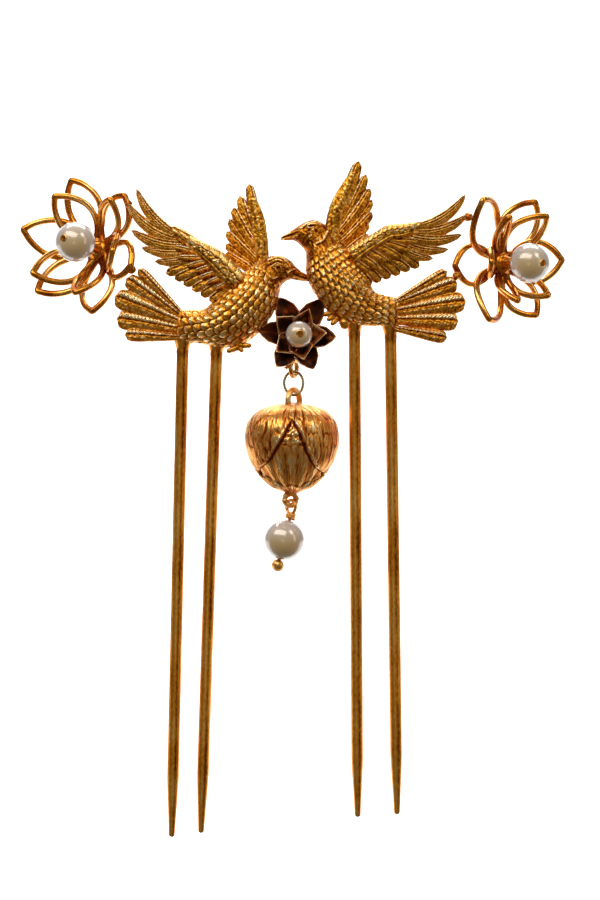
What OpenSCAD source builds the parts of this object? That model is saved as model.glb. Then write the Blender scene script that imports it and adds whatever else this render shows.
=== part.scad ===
// Bun pin of cast and bent metal. Two birds in flight face each other over a small pearl
// flower. The near wing and the tail of each bird are soldered to an open lotus of round wire
// that carries a pearl. Two wire prongs under each bird go into the bun, and a lotus bud with
// a pearl drop hangs between them.
// X runs across the pin, -Y is the side that shows, +Z is up. The origin lies between the
// tops of the prongs, on their common plane.

/* [Prongs] */
// Thickness of the prong wire
prong_d = 1.8; // [1.4:0.1:2]
// Length of the tapered end of a prong
prong_taper = 9; // [5:1:15]
// Thickness of a prong at its rounded tip
prong_tip_d = 0.9; // [0.6:0.1:1.2]
// Height of the solder cone round the top of a prong
collar_h = 1.8; // [1:0.1:3]

/* [Pearls] */
// Diameter of the two lotus pearls
lotus_pearl_d = 6; // [5:0.1:6.4]
// Diameter of the pearl in the middle flower
center_pearl_d = 4; // [3.4:0.1:4.4]
// Diameter of the drop pearl
drop_pearl_d = 6.1; // [5:0.1:6.6]
// Thickness of the pegs that the pearls sit on
peg_d = 0.9; // [0.6:0.1:1.1]

/* [Flowers] */
// Thickness of the lotus wire
lotus_wire_d = 1.0; // [0.8:0.05:1.1]
// Thickness of the middle flower's petals
leaf_t = 0.5; // [0.4:0.05:0.8]
// Depth of the dish of a petal, as a share of its half width
leaf_dish = 0.45; // [0.2:0.05:0.7]

/* [Birds] */
// Thickness of a feather at its edge
feather_t = 0.5; // [0.4:0.05:0.8]
// Height of the shaft's ridge over the edge of a feather
shaft_h = 0.35; // [0.2:0.05:0.5]

/* [Drop] */
// Height of the oval jump ring over its outside
ring_h = 4; // [3.8:0.1:4.3]
// Width of the jump ring over its outside
ring_w = 3.3; // [3.2:0.1:3.5]
// Thickness of the jump ring's wire
ring_wire_d = 0.45; // [0.35:0.05:0.5]
// Height of the bud without its eyes
bud_h = 13.55; // [12.8:0.05:14]
// Width of the bud
bud_w = 14.2; // [12:0.1:14.6]
// Depth of the bud from front to back
bud_depth = 12.8; // [10:0.1:14]
// Height of the outer petals over the inner one
bud_relief = 0.35; // [0.2:0.05:0.5]
// Thickness of the head pin's wire
pin_wire_d = 0.5; // [0.4:0.05:0.55]
// Diameter of the ball at the end of the head pin
pin_ball_d = 1.9; // [1.6:0.1:2.2]

/* [Hidden] */
$fn = 48;

// Gap between pieces that touch on the real pin
gap = 0.05;
// From the top of a prong, inside the bird, to its solder cone
collar_start = 1;
// Sides of the bent wires
wire_sides = 5;
// Plane of the birds' bodies, in front of the prongs
bird_y = -1;
// Planes of the arms, and of the feathers at their roots and at their tips
near_arm_y = bird_y - 1.9;
near_feathers_y = [bird_y - 1.7, bird_y - 1.2];
covert_y = [bird_y - 2.1, bird_y - 2];
far_arm_y = bird_y + 1.3;
far_feathers_y = [bird_y + 1.2, bird_y + 2.4];
tail_y = [bird_y - 0.2, bird_y - 1.2];
// Every second feather lies this much deeper than its neighbours
layer_step = 0.12;

gold = [0.80, 0.60, 0.22];
orange_gold = [0.78, 0.52, 0.22];
pearl_white = [0.94, 0.92, 0.88];

// Prongs: x and z of the top inside the bird, x and z of the tip
prongs = [
  [-15.6, 1.9, -17.3, -73.8],
  [-10.5, 1.5, -12.9, -73.2],
  [10.1, 4.5, 10.6, -70.8],
  [15.5, 4.1, 16.5, -70.4]];

// Bodies, from the tail's root to the beak: x and z of the back line, x and z of the breast
// line, half the thickness there
left_body = [
  [-16.4, 5.0, -16.7, 1.1, 1.2],
  [-14.6, 5.1, -14.9, 0.6, 2.0],
  [-12.3, 5.3, -12.2, 0.2, 2.8],
  [-10.7, 6.9, -9.2, -0.3, 3.5],
  [-8.6, 9.0, -6.0, 0.6, 3.9],
  [-6.5, 10.7, -3.8, 2.4, 3.8],
  [-4.7, 12.0, -2.0, 5.0, 3.3],
  [-3.6, 12.8, -1.2, 7.2, 2.6],
  [-2.9, 13.1, -0.9, 8.6, 2.2],
  [-2.0, 13.4, -0.2, 9.4, 2.0],
  [-0.7, 13.3, 0.5, 9.7, 1.8],
  [0.6, 12.6, 1.0, 9.7, 1.3],
  [1.4, 11.7, 1.5, 9.6, 0.8],
  [2.3, 10.9, 2.3, 9.5, 0.55],
  [3.5, 10.3, 3.5, 9.4, 0.3]];
right_body = [
  [16.8, 6.9, 16.5, 2.4, 1.2],
  [15.0, 7.2, 14.6, 2.9, 2.0],
  [13.2, 7.8, 11.7, 3.0, 2.8],
  [12.3, 9.2, 9.2, 3.5, 3.4],
  [11.6, 10.8, 6.5, 4.8, 3.8],
  [10.5, 12.5, 4.5, 7.4, 3.8],
  [9.2, 14.0, 3.2, 9.8, 3.4],
  [7.7, 15.2, 2.9, 11.9, 2.8],
  [6.6, 16.4, 2.8, 13.7, 2.3],
  [5.9, 17.7, 2.2, 14.6, 2.1],
  [4.8, 18.6, 1.6, 15.2, 1.9],
  [3.5, 18.7, 1.1, 15.5, 1.7],
  [2.1, 18.1, 0.6, 15.6, 1.2],
  [1.1, 17.4, 0.3, 15.6, 0.7],
  [0.2, 16.8, -0.2, 15.6, 0.5],
  [-0.9, 16.1, -0.9, 15.6, 0.25]];

// Arms of the wings, from the shoulder to the hand, in the columns of the bodies
left_near_arm = [
  [-5.9, 9.9, -8.4, 7.8, 1.0],
  [-7.5, 11.6, -9.7, 9.2, 1.1],
  [-9.5, 13.6, -11.1, 10.8, 1.1],
  [-12.0, 15.0, -12.7, 12.6, 1.0],
  [-14.6, 16.1, -14.6, 14.4, 0.9],
  [-17.1, 17.5, -16.6, 15.9, 0.5]];
right_near_arm = [
  [8.7, 14.1, 10.1, 11.6, 1.0],
  [10.7, 15.3, 11.6, 13.1, 1.1],
  [12.9, 16.5, 13.5, 14.4, 1.1],
  [15.0, 17.7, 15.5, 15.6, 1.0],
  [17.1, 17.9, 17.4, 15.9, 1.0],
  [20.0, 18.2, 19.2, 16.8, 0.5]];
left_far_arm = [
  [-2.7, 11.6, -4.5, 11.1, 0.7],
  [-2.9, 15.8, -5.0, 15.2, 0.7],
  [-3.5, 19.3, -5.3, 18.5, 0.5],
  [-4.8, 22.2, -5.5, 22.0, 0.2]];
right_far_arm = [
  [5.4, 15.2, 9.4, 13.4, 0.9],
  [5.6, 17.0, 8.0, 16.1, 0.7],
  [6.5, 21.0, 8.6, 20.0, 0.7],
  [7.9, 23.6, 9.5, 22.7, 0.5],
  [9.6, 26.0, 10.3, 25.6, 0.2]];

// Primaries of the wings, from the leading edge on: x and z of the tip, half width, sag
left_primaries = [
  [-22.5, 23.3, 0.85, 1.0],
  [-23.9, 21.2, 0.95, 1.3],
  [-23.3, 17.1, 0.95, 1.0],
  [-21.8, 14.5, 0.90, 0.7],
  [-19.8, 12.4, 0.85, 0.5]];
right_primaries = [
  [26.7, 22.4, 0.85, -1.0],
  [27.0, 19.4, 0.90, -1.1],
  [26.2, 16.4, 0.90, -0.9],
  [24.2, 14.2, 0.85, -0.8],
  [21.9, 12.8, 0.80, -0.6]];
left_far_feathers = [
  [-5.7, 24.3, 0.85, 0],
  [-7.1, 22.5, 0.90, 0.2],
  [-8.1, 20.7, 0.90, 0.2],
  [-8.7, 19.0, 0.85, 0.2],
  [-9.1, 17.1, 0.85, 0.1],
  [-9.2, 15.2, 0.85, 0],
  [-9.2, 13.9, 0.80, 0]];
right_far_feathers = [
  [10.8, 27.7, 1.00, 0],
  [11.9, 25.7, 0.85, -0.3],
  [12.5, 23.6, 0.85, -0.3],
  [12.8, 21.9, 0.80, -0.3],
  [12.8, 20.0, 0.80, -0.2],
  [12.3, 18.3, 0.80, 0],
  [12.2, 16.7, 0.80, 0]];

// Secondaries: x and z of the first tip, x and z of the last tip, how many
left_secondaries = [-18.1, 10.6, -11.6, 6.5, 6];
right_secondaries = [19.8, 11.6, 12.6, 8.9, 6];

// Roots of a wing's feathers: x and z at the hand, x and z at the shoulder
left_near_roots = [-16.2, 16.2, -7.8, 10.1];
right_near_roots = [19.4, 17.5, 10.3, 12.9];
left_far_roots = [-4.3, 15.8, -4.9, 11.0];
right_far_roots = [7.7, 18.5, 8.4, 13.6];

// Tails, from the top feather down: x and z of the root, x and z of the end, half width
left_tail = [
  [-15.4, 4.3, -22.2, 11.3, 0.8],
  [-15.5, 4.0, -24.0, 9.9, 1.3],
  [-15.7, 3.3, -25.7, 7.2, 1.6],
  [-15.7, 2.3, -25.4, 3.9, 1.5],
  [-15.7, 1.1, -24.2, 1.5, 1.0]];
right_tail = [
  [15.9, 6.3, 23.9, 11.0, 0.8],
  [16.0, 6.0, 25.4, 9.3, 1.4],
  [16.0, 5.0, 26.7, 6.5, 1.6],
  [16.0, 3.8, 25.6, 3.5, 1.5],
  [16.0, 2.5, 23.9, 1.0, 1.0]];

// Outlines of a feather: place along it, share of its half width
vane = [[0, 0.8], [0.35, 1], [0.7, 0.86], [0.92, 0.5], [1, 0.1]];
blunt_vane = [[0, 0.8], [0.35, 1], [0.75, 0.95], [0.93, 0.72], [1, 0.25]];
fan_vane = [[0, 0.5], [0.6, 0.9], [0.86, 1], [0.96, 0.8], [1, 0.35]];

// Feet: x, y, z where a leg or toe starts, x, y, z where it ends, radius at both ends
feet = [
  [-7.6, -1.6, 0.6, -7.3, -2.2, -0.4, 0.7, 0.5],
  [-7.1, -2.2, -0.1, -5.3, -2.8, -0.2, 0.45, 0.35],
  [-7.1, -2.2, -0.4, -6.6, -2.6, -1.1, 0.4, 0.3],
  [-7.3, -2.3, -0.4, -9.0, -2.5, -1.1, 0.5, 0.35],
  [8.6, -1.6, 4.2, 8.6, -2.0, 2.3, 1.0, 0.5],
  [6.9, -1.8, 4.8, 5.4, -2.4, 4.4, 0.5, 0.3],
  [7.2, -1.8, 4.4, 6.0, -2.6, 3.6, 0.5, 0.3],
  [7.6, -1.8, 4.0, 6.6, -2.4, 2.9, 0.5, 0.3]];

// Lotuses: x, y, z of the base, turn towards the side, lift of the axis, base to pearl
left_lotus = [-28.4, 3.0, 14.5, -33, 8, 6.0];
right_lotus = [32.5, 5.0, 12.5, 38, -2, 6.4];

// Petals of the lotuses: direction, reach, rise along the axis, half width
left_petals = [
  [113, 11.8, 2.5, 3.1],
  [167, 11.7, 5.0, 3.1],
  [223, 10.8, 4.5, 3.0],
  [279, 10.6, 2.5, 3.1],
  [338, 8.4, 1.5, 3.1],
  [57, 9.8, 1.5, 3.0],
  [126, 9.7, 5.0, 3.1],
  [211, 9.3, 6.0, 3.1],
  [270, 8.0, 5.0, 2.4],
  [348, 6.2, 4.0, 3.0],
  [60, 8.4, 3.5, 2.4]];
right_petals = [
  [134, 13.2, 5.5, 3.5],
  [68, 10.7, 3.0, 3.5],
  [5, 9.3, 4.0, 3.4],
  [301, 9.5, 3.0, 3.1],
  [232, 11.4, 5.0, 3.4],
  [184, 10.3, 0.5, 3.3],
  [111, 7.8, 4.5, 1.6],
  [61, 8.8, 5.5, 2.7],
  [315, 7.2, 5.5, 2.1],
  [264, 6.2, 4.5, 1.8],
  [180, 6.0, 4.0, 2.4]];

// Outline of a lotus petal: place along it, share of its half width
lotus_outline = [[0.2, 0.66], [0.41, 0.97], [0.63, 1.06], [0.86, 0.64]];

// Middle flower: x, y, z of the base, turn, lift, base to pearl
center_flower = [1.5, 1.5, 1.4, 5, 2, 3.4];
center_leaves = [
  [117, 6.3, 2.2, 1.9],
  [56, 6.5, 2.2, 1.9],
  [174, 6.1, 2.2, 1.8],
  [357, 5.7, 2.2, 1.8],
  [236, 5.8, 2.2, 1.9],
  [294, 5.6, 2.2, 1.9],
  [142, 4.1, 3.3, 1.7],
  [70, 4.1, 3.3, 1.7],
  [6, 4.0, 3.3, 1.7],
  [280, 3.6, 3.3, 1.7],
  [218, 3.9, 3.3, 1.7]];
leaf_outline = [[0.1, 0.5], [0.45, 1], [0.7, 0.84], [0.9, 0.4], [1, 0.06]];

// Solder beads where a feather meets a wire or a petal meets a breast: x, y, z, radius
solder = [
  [-23.7, -1.5, 21.2, 0.9],
  [-23.2, -2.0, 11.2, 0.8],
  [27.1, -1.5, 19.2, 0.9],
  [25.4, -1.5, 10.3, 0.9]];

// Line that the drop hangs on, and the play between two links of it
hang = [1, 1, 0];
play = 0.14;
// Eyes and loops: mean radius, wire radius, turn of their plane from the XZ plane
flower_eye = [1.2, 0.35, 68];
bud_bail = [1.7, 0.46, 60];
bud_eye = [0.9, 0.43, 20];
pin_loop = [1.05, pin_wire_d / 2, -50];
// Height of each link, worked out from the one that it hangs on
flower_eye_z = -3.5;
jump_link = [(ring_h - ring_wire_d) / 2, ring_wire_d / 2];
ring_z = flower_eye_z - hang_step(flower_eye, jump_link);
bail_z = ring_z - hang_step(jump_link, bud_bail);
bud_top_z = bail_z - 0.36;
bud_eye_z = bud_top_z - bud_h - bud_eye[0];
pin_loop_z = bud_eye_z - hang_step(bud_eye, pin_loop);
// X of the bud's axis, of the eye under it and of the head pin's loop
bud_x = 0.85;
bud_eye_x = 0.5;
pin_loop_x = 0.6;
// How far the pearl hangs askew on its wire, towards -X, and the wraps of wire above it
pearl_tilt = 14.5;
wrap_r = 0.5;
wrap_wire_r = 0.3;
wrap_pitch = 1.7 * wrap_wire_r;
// How far the ball sinks into the mouth of the pearl's hole
ball_seat = 0.04;

// Bud: height above its lower end as a share of its height, share of its half width
bud_profile = [
  [0, 0.12], [0.07, 0.41], [0.16, 0.61], [0.25, 0.75], [0.34, 0.87], [0.43, 0.94],
  [0.52, 0.985], [0.61, 1], [0.7, 0.985], [0.79, 0.94], [0.87, 0.83], [0.93, 0.68],
  [0.98, 0.44], [1, 0.2]];
// Where the outer petals of the bud part: place in its height, angle to the left and right
bud_opening = [[0, 20, 20], [0.16, 62, 48], [0.25, 78, 50], [0.35, 43, 24], [0.46, 28, 16],
  [0.65, 13, 9], [0.83, 0, 0], [1, 0, 0]];
// Sides of the bud and of the jump ring
bud_sides = 30;
ring_sides = 24;

// From the middle of a link down to the middle of the one that hangs in it. Each link is given
// by its mean radius and its wire radius.
function hang_step(link, next) = link[0] - link[1] - play - next[1] + next[0];

// Small helpers on vectors
function unit(v) = v / norm(v);
function blend(a, b, t) = a + (b - a) * t;
function flat(p, y) = [p[0], y, p[1]];
function layered(depth, i) = [for (y = depth) y + layer_step * (i % 2)];

// Reads a table of [place, value] rows at any place between its first and last
function read_at(table, t, i = 0) =
  i + 2 >= len(table) || t <= table[i + 1][0]
    ? blend(table[i][1], table[i + 1][1],
            (t - table[i][0]) / (table[i + 1][0] - table[i][0]))
    : read_at(table, t, i + 1);

// True where the points of the rings turn against the direction of the sweep
function turns_back(rings) =
  let (mid = floor(len(rings) / 2), n = len(rings[mid]), a = rings[mid],
       normal = cross(a[floor(n / 3)] - a[0], a[floor(2 * n / 3)] - a[0]))
  normal * (rings[mid][0] - rings[mid - 1][0]) < 0;

// Closed skin over rings of equally many points, its two ends fanned shut
module skin(rings) {
  n = len(rings[0]);
  last = len(rings) - 1;
  walls = [for (i = [0 : last - 1]) for (k = [0 : n - 1])
    let (a = i * n + k, b = i * n + (k + 1) % n)
    each [[a, b + n, b], [a, a + n, b + n]]];
  first_end = [for (k = [1 : n - 2]) [0, k, k + 1]];
  last_end = [for (k = [1 : n - 2]) [last * n, last * n + k + 1, last * n + k]];
  faces = concat(walls, first_end, last_end);
  turned = [for (f = faces) [f[0], f[2], f[1]]];
  polyhedron(points = [for (ring = rings) each ring],
             faces = turns_back(rings) ? turned : faces);
}

// Skin through oval sections, each given by its two edge points in the XZ plane
module oval_body(rows, y, sides = 10)
  skin([for (row = rows)
    let (top = [row[0], row[1]], low = [row[2], row[3]])
    [for (k = [0 : sides - 1])
      let (a = 360 * k / sides, c = (top + low) / 2 + (top - low) / 2 * cos(a))
      flat(c, y + row[4] * sin(a))]]);

// One feather from root to tip with a ridge along its shaft. It sags to one side by sag.
module feather(root, tip, half_w, sag, depth, outline = vane) {
  along = unit(tip - root);
  aside = [-along[1], along[0]];
  skin([for (row = outline)
    let (t = row[0], w = half_w * row[1], y = blend(depth[0], depth[1], t),
         ridge = shaft_h * min(1, 3 * (1.05 - t)),
         c = blend(root, tip, t) + aside * sag * 4 * t * (1 - t))
    [flat(c + aside * w, y), flat(c, y - ridge), flat(c - aside * w, y),
     flat(c - aside * w, y + feather_t), flat(c + aside * w, y + feather_t)]]);
}

// A row of feathers whose roots stand evenly between the two ends of the root
// line; the first few are pointed, the others blunt
module feather_row(roots, rows, depth, pointed) {
  last = len(rows) - 1;
  for (i = [0 : last]) {
    root = blend([roots[0], roots[1]], [roots[2], roots[3]], i / last);
    feather(root, [rows[i][0], rows[i][1]], rows[i][2], rows[i][3], layered(depth, i),
      i < pointed ? vane : blunt_vane);
  }
}

// Rows for the short feathers along the trailing edge
function secondary_rows(s, half_w = 0.9) =
  [for (i = [0 : s[4] - 1])
    let (t = i / (s[4] - 1))
    [blend(s[0], s[2], t), blend(s[1], s[3], t), half_w, 0]];

// Short feathers that cover the roots of the long ones
module coverts(roots, rows, count, half_w = 0.8, reach = 0.42) {
  for (i = [0 : count - 1]) {
    t = (i + 0.5) / count;
    at = t * (len(rows) - 1);
    near = rows[floor(at)];
    next = rows[min(floor(at) + 1, len(rows) - 1)];
    root = blend([roots[0], roots[1]], [roots[2], roots[3]], t);
    tip = blend([near[0], near[1]], [next[0], next[1]], at - floor(at));
    feather(root, blend(root, tip, reach), half_w, 0, covert_y);
  }
}

module near_wing(arm, roots, primaries, secondaries) {
  rows = concat(primaries, secondary_rows(secondaries));
  oval_body(arm, near_arm_y, 8);
  feather_row(roots, rows, near_feathers_y, len(primaries));
  coverts(roots, rows, 6);
}

module far_wing(arm, roots, rows) {
  oval_body(arm, far_arm_y, 8);
  feather_row(roots, rows, far_feathers_y, 1);
}

module tail(rows)
  for (i = [0 : len(rows) - 1]) {
    row = rows[i];
    feather([row[0], row[1]], [row[2], row[3]], row[4], 0, layered(tail_y, i), fan_vane);
  }

// Ring of points round p, across the direction along, widened by mitre in the plane of ref
function wire_ring(p, along, ref, r, mitre = 1) =
  let (aside = unit(cross(along, ref)), up = cross(aside, along))
  [for (k = [0 : wire_sides - 1]) let (a = 360 * (k + 0.5) / wire_sides)
    p + aside * r * mitre * cos(a) + up * r * sin(a)];

// Tapered rod between two points
module rod(from, to, r_from, r_to) {
  along = unit(to - from);
  ref = abs(along[1]) < 0.8 ? [0, 1, 0] : [1, 0, 0];
  skin([wire_ring(from, along, ref, r_from), wire_ring(to, along, ref, r_to)]);
}

// Round wire bent through the points and back to the first one
module wire_loop(path, r) {
  n = len(path);
  m = wire_sides;
  rings = [for (i = [0 : n - 1])
    let (before = unit(path[i] - path[(i + n - 1) % n]),
         after = unit(path[(i + 1) % n] - path[i]),
         bend = sqrt(max(0.4, (1 + before * after) / 2)))
    wire_ring(path[i], unit(before + after), [0, 0, 1], r, 1 / bend)];
  faces = [for (i = [0 : n - 1]) for (k = [0 : m - 1])
    let (a = i * m + k, b = i * m + (k + 1) % m, c = ((i + 1) % n) * m + (k + 1) % m,
         d = ((i + 1) % n) * m + k)
    each [[a, b, c], [a, c, d]]];
  polyhedron(points = [for (ring = rings) each ring], faces = faces);
}

// One open petal: a loop of wire that widens, then runs to a point
module wire_petal(reach, rise, half_w) {
  base_r = 1.2;
  tip = reach - lotus_wire_d / 2;
  one_side = [for (row = lotus_outline)
    [blend(base_r, tip, row[0]), (half_w - lotus_wire_d / 2) * row[1],
     rise * pow(row[0], 1.8)]];
  other_side = [for (i = [len(one_side) - 1 : -1 : 0])
    [one_side[i][0], -one_side[i][1], one_side[i][2]]];
  path = concat([[base_r, 0, 0]], one_side, [[tip, 0, rise]], other_side);
  wire_loop(path, lotus_wire_d / 2);
}

// One solid petal, dished towards the viewer
module leaf(reach, rise, half_w)
  skin([for (row = leaf_outline)
    let (x = blend(0.4, reach, row[0]), w = half_w * row[1], z = rise * pow(row[0], 1.3),
         edge = z + leaf_dish * w)
    [[x, w, edge], [x, 0, z], [x, -w, edge], [x, -w, edge - leaf_t], [x, 0, z - leaf_t],
     [x, w, edge - leaf_t]]]);

// Puts a flower on its base, its axis towards the viewer
module at_flower(f) translate([f[0], f[1], f[2]]) rotate([90 - f[4], 0, f[3]]) children();

module lotus(f, petals) at_flower(f) {
  for (row = petals) rotate(row[0]) wire_petal(row[1], row[2], row[3]);
  translate([0, 0, -0.7]) cylinder(r1 = 1.3, r2 = 1.7, h = 1.4, $fn = 10);
  translate([0, 0, 0.6])
    cylinder(r1 = 1.5, r2 = 0.7, h = f[5] - lotus_pearl_d / 2 - 0.7, $fn = 10);
}

module center_bloom() at_flower(center_flower) {
  for (row = center_leaves) rotate(row[0]) leaf(row[1], row[2], row[3]);
  translate([0, 0, -0.6]) cylinder(r1 = 1.2, r2 = 1.6, h = 1.6, $fn = 10);
}

module left_bird() {
  oval_body(left_body, bird_y);
  near_wing(left_near_arm, left_near_roots, left_primaries, left_secondaries);
  far_wing(left_far_arm, left_far_roots, left_far_feathers);
  tail(left_tail);
}

module right_bird() {
  oval_body(right_body, bird_y);
  near_wing(right_near_arm, right_near_roots, right_primaries, right_secondaries);
  far_wing(right_far_arm, right_far_roots, right_far_feathers);
  tail(right_tail);
}

module soldered_feet()
  for (row = feet)
    rod([row[0], row[1], row[2]], [row[3], row[4], row[5]], row[6], row[7]);

// Everything that is cast or bent, joined into one closed skin at its own size
module castings() resize([0, 0, 0]) union() {
  left_bird();
  right_bird();
  soldered_feet();
  lotus(left_lotus, left_petals);
  lotus(right_lotus, right_petals);
  center_bloom();
  for (row = solder) translate([row[0], row[1], row[2]]) sphere(r = row[3], $fn = 8);
  eye_stalk();
}

// Wire that carries the flower's eye, and its twisted end beside the eye
module eye_stalk() {
  eye_top = hang + [0, 0, flower_eye_z + flower_eye[0]];
  rod([1.4, 1.6, 0.4], eye_top, 0.6, 0.4);
  rod(eye_top + [-1.2, -0.7, -1.2], eye_top + [0.1, -0.4, 0.1], 0.28, 0.28);
}

// One prong, turned into its lean, with a solder cone at its top
module prong(row) {
  top = [row[0], 0, row[1]];
  tip = [row[2], 0, row[3]];
  length = norm(tip - top);
  lean = atan2(tip[0] - top[0], tip[2] - top[2]);
  straight = length - prong_taper;
  translate(top) rotate([0, lean, 0]) {
    cylinder(d = prong_d, h = straight);
    translate([0, 0, collar_start]) cylinder(d1 = 1.5 * prong_d, d2 = prong_d, h = collar_h);
    translate([0, 0, straight])
      cylinder(d1 = prong_d, d2 = prong_tip_d, h = prong_taper - prong_tip_d / 2);
    translate([0, 0, length - prong_tip_d / 2]) sphere(d = prong_tip_d);
  }
}

// Peg through a flower's pearl, its end flush with the front of the pearl
module peg(f, pearl_d) at_flower(f)
  translate([0, 0, 0.5]) cylinder(d = peg_d, h = f[5] + pearl_d / 2 - 0.6);

module drilled_pearl(pearl_d) difference() {
  sphere(d = pearl_d);
  translate([0, 0, -pearl_d]) cylinder(d = peg_d + 2 * gap, h = 2 * pearl_d);
}

// Round ring of wire that stands upright
module upright_ring(ring) rotate([90, 0, ring[2]]) rotate_extrude()
  translate([ring[0], 0]) circle(r = ring[1]);

// Angle from the front at which the outer petals of the bud part, at place t of its height
function parting(t, side) = read_at([for (row = bud_opening) [row[0], row[side]]], t);

// Point on the bud at place t of its height, at an angle from the front. The inner petal lies
// deeper than the two outer ones, whose surface is the bud's outline.
function bud_point(t, angle) =
  let (across = sin(angle), from_front = abs(asin(across)),
       edge = parting(t, across < 0 ? 1 : 2),
       outer = min(1, max(0, 0.5 + (from_front - edge) / 10)),
       share = read_at(bud_profile, t), sunk = bud_relief * share * (1 - outer))
  [(bud_w / 2 * share - sunk) * across, -(bud_depth / 2 * share - sunk) * cos(angle),
   bud_h * (t - 1)];

module frame() color(gold) {
  castings();
  translate(hang + [0, 0, flower_eye_z]) upright_ring(flower_eye);
  for (row = prongs) prong(row);
  peg(left_lotus, lotus_pearl_d);
  peg(right_lotus, lotus_pearl_d);
  peg(center_flower, center_pearl_d);
}

module pearl_left() color(pearl_white)
  at_flower(left_lotus) translate([0, 0, left_lotus[5]]) drilled_pearl(lotus_pearl_d);

module pearl_right() color(pearl_white)
  at_flower(right_lotus) translate([0, 0, right_lotus[5]]) drilled_pearl(lotus_pearl_d);

module pearl_center() color(pearl_white)
  at_flower(center_flower) translate([0, 0, center_flower[5]]) drilled_pearl(center_pearl_d);

module jump_ring() color(gold)
  translate(hang + [0, 0, ring_z]) rotate([90, 0, 0])
    wire_loop([for (k = [0 : ring_sides - 1]) let (a = 360 * k / ring_sides)
      [(ring_w - ring_wire_d) / 2 * cos(a), (ring_h - ring_wire_d) / 2 * sin(a), 0]],
      ring_wire_d / 2);

module bud() color(orange_gold) {
  translate([bud_x, hang[1], bud_top_z])
    skin([for (row = bud_profile)
      [for (k = [0 : bud_sides - 1]) bud_point(row[0], 360 * k / bud_sides)]]);
  translate(hang + [0, 0, bail_z]) upright_ring(bud_bail);
  translate([bud_eye_x, hang[1], bud_eye_z]) upright_ring(bud_eye);
}

// Puts what is on the head pin on its tilted axis, at the middle of the pearl
module at_drop() {
  up = drop_pearl_d / 2 + gap + 3 * wrap_wire_r;
  translate([pin_loop_x, hang[1], pin_loop_z - pin_loop[0]])
    rotate([0, pearl_tilt, 0]) translate([0, 0, -up]) children();
}

module head_pin() color(orange_gold) {
  ball_z = -(drop_pearl_d + pin_ball_d) / 2 + ball_seat;
  first_wrap = drop_pearl_d / 2 + gap + wrap_wire_r;
  translate([pin_loop_x, hang[1], pin_loop_z]) upright_ring(pin_loop);
  at_drop() {
    translate([0, 0, ball_z])
      cylinder(d = pin_wire_d, h = first_wrap + 2 * wrap_wire_r - ball_z);
    translate([0, 0, ball_z]) sphere(d = pin_ball_d);
    translate([0, 0, first_wrap]) cylinder(r = wrap_r, h = wrap_pitch);
    for (i = [0, 1]) translate([0, 0, first_wrap + i * wrap_pitch]) rotate_extrude()
      translate([wrap_r, 0]) circle(r = wrap_wire_r, $fn = 24);
  }
}

module drop_pearl() color(pearl_white) at_drop() difference() {
  sphere(d = drop_pearl_d);
  translate([0, 0, -drop_pearl_d]) cylinder(d = pin_wire_d + 2 * gap, h = 2 * drop_pearl_d);
}

frame();
pearl_left();
pearl_right();
pearl_center();
jump_ring();
bud();
head_pin();
drop_pearl();
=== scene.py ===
# %% [markdown]
# # A bun pin with two birds, two lotuses and a bud drop
#
# A bun pin holds a twist of hair and shows its jewel above it. This one is cast and bent from
# brass, plated in warm gold, with four pearls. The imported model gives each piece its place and
# size. This lesson gives the pieces the chasing, wire and lustre that the real pin has.
#
# Everything below is worked out in millimetres and turned into metres when a mesh is made.

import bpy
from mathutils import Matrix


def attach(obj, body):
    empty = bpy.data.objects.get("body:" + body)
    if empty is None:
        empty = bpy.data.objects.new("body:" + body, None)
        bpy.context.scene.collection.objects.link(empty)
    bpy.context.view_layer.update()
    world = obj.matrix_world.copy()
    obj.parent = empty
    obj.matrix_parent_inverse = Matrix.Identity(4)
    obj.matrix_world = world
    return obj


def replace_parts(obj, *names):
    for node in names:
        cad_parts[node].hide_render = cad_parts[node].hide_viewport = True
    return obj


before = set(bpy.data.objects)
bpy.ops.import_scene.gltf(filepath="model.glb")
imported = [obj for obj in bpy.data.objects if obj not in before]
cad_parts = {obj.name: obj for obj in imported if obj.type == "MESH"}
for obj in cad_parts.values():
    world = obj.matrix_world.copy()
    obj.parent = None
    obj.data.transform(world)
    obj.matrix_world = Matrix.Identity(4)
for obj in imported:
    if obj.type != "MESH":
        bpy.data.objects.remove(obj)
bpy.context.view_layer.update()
print("nodes:", sorted(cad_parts))

# %% [markdown]
# ## Helpers for numbers
#
# Chasing could be painted on with textures, but painted lines look flat from the side. Here
# every line and pit is real height, worked out as a sum of a few plain functions of the place.
# One function eases between two levels, one is a hump, one draws a smooth line through given
# points, one reads a table between its rows, and one gives the uneven grain of cast metal. Each
# takes whole arrays, so no loop runs over single points.

import bpy
import numpy as np

MM = 0.001
TURN = 2 * np.pi


def smooth(low, high, x):
    """0 below low, 1 above high, and 3t² - 2t³ between, where t is the share of the way."""
    t = np.clip((x - low) / (high - low), 0, 1)
    return t * t * (3 - 2 * t)


def bell(x, width):
    """A hump of height 1 at x = 0: e to the power of -(x / width)²."""
    return np.exp(-((x / width) ** 2))


def through(keys, t):
    """Smooth line through the rows of keys at places t from 0 to 1: each stretch is the cubic
    whose slope at a row is half the step between the rows before and after it."""
    keys = np.asarray(keys, float)
    last = len(keys) - 1
    place = np.clip(np.asarray(t, float), 0, 1) * last
    i = np.minimum(place.astype(int), last - 1)
    f = (place - i)[..., None]
    a, b, c, d = (keys[np.clip(i + k, 0, last)] for k in (-1, 0, 1, 2))
    return b + f / 2 * (c - a + f * (2 * a - 5 * b + 4 * c - d + f * (3 * (b - c) + d - a)))


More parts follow.
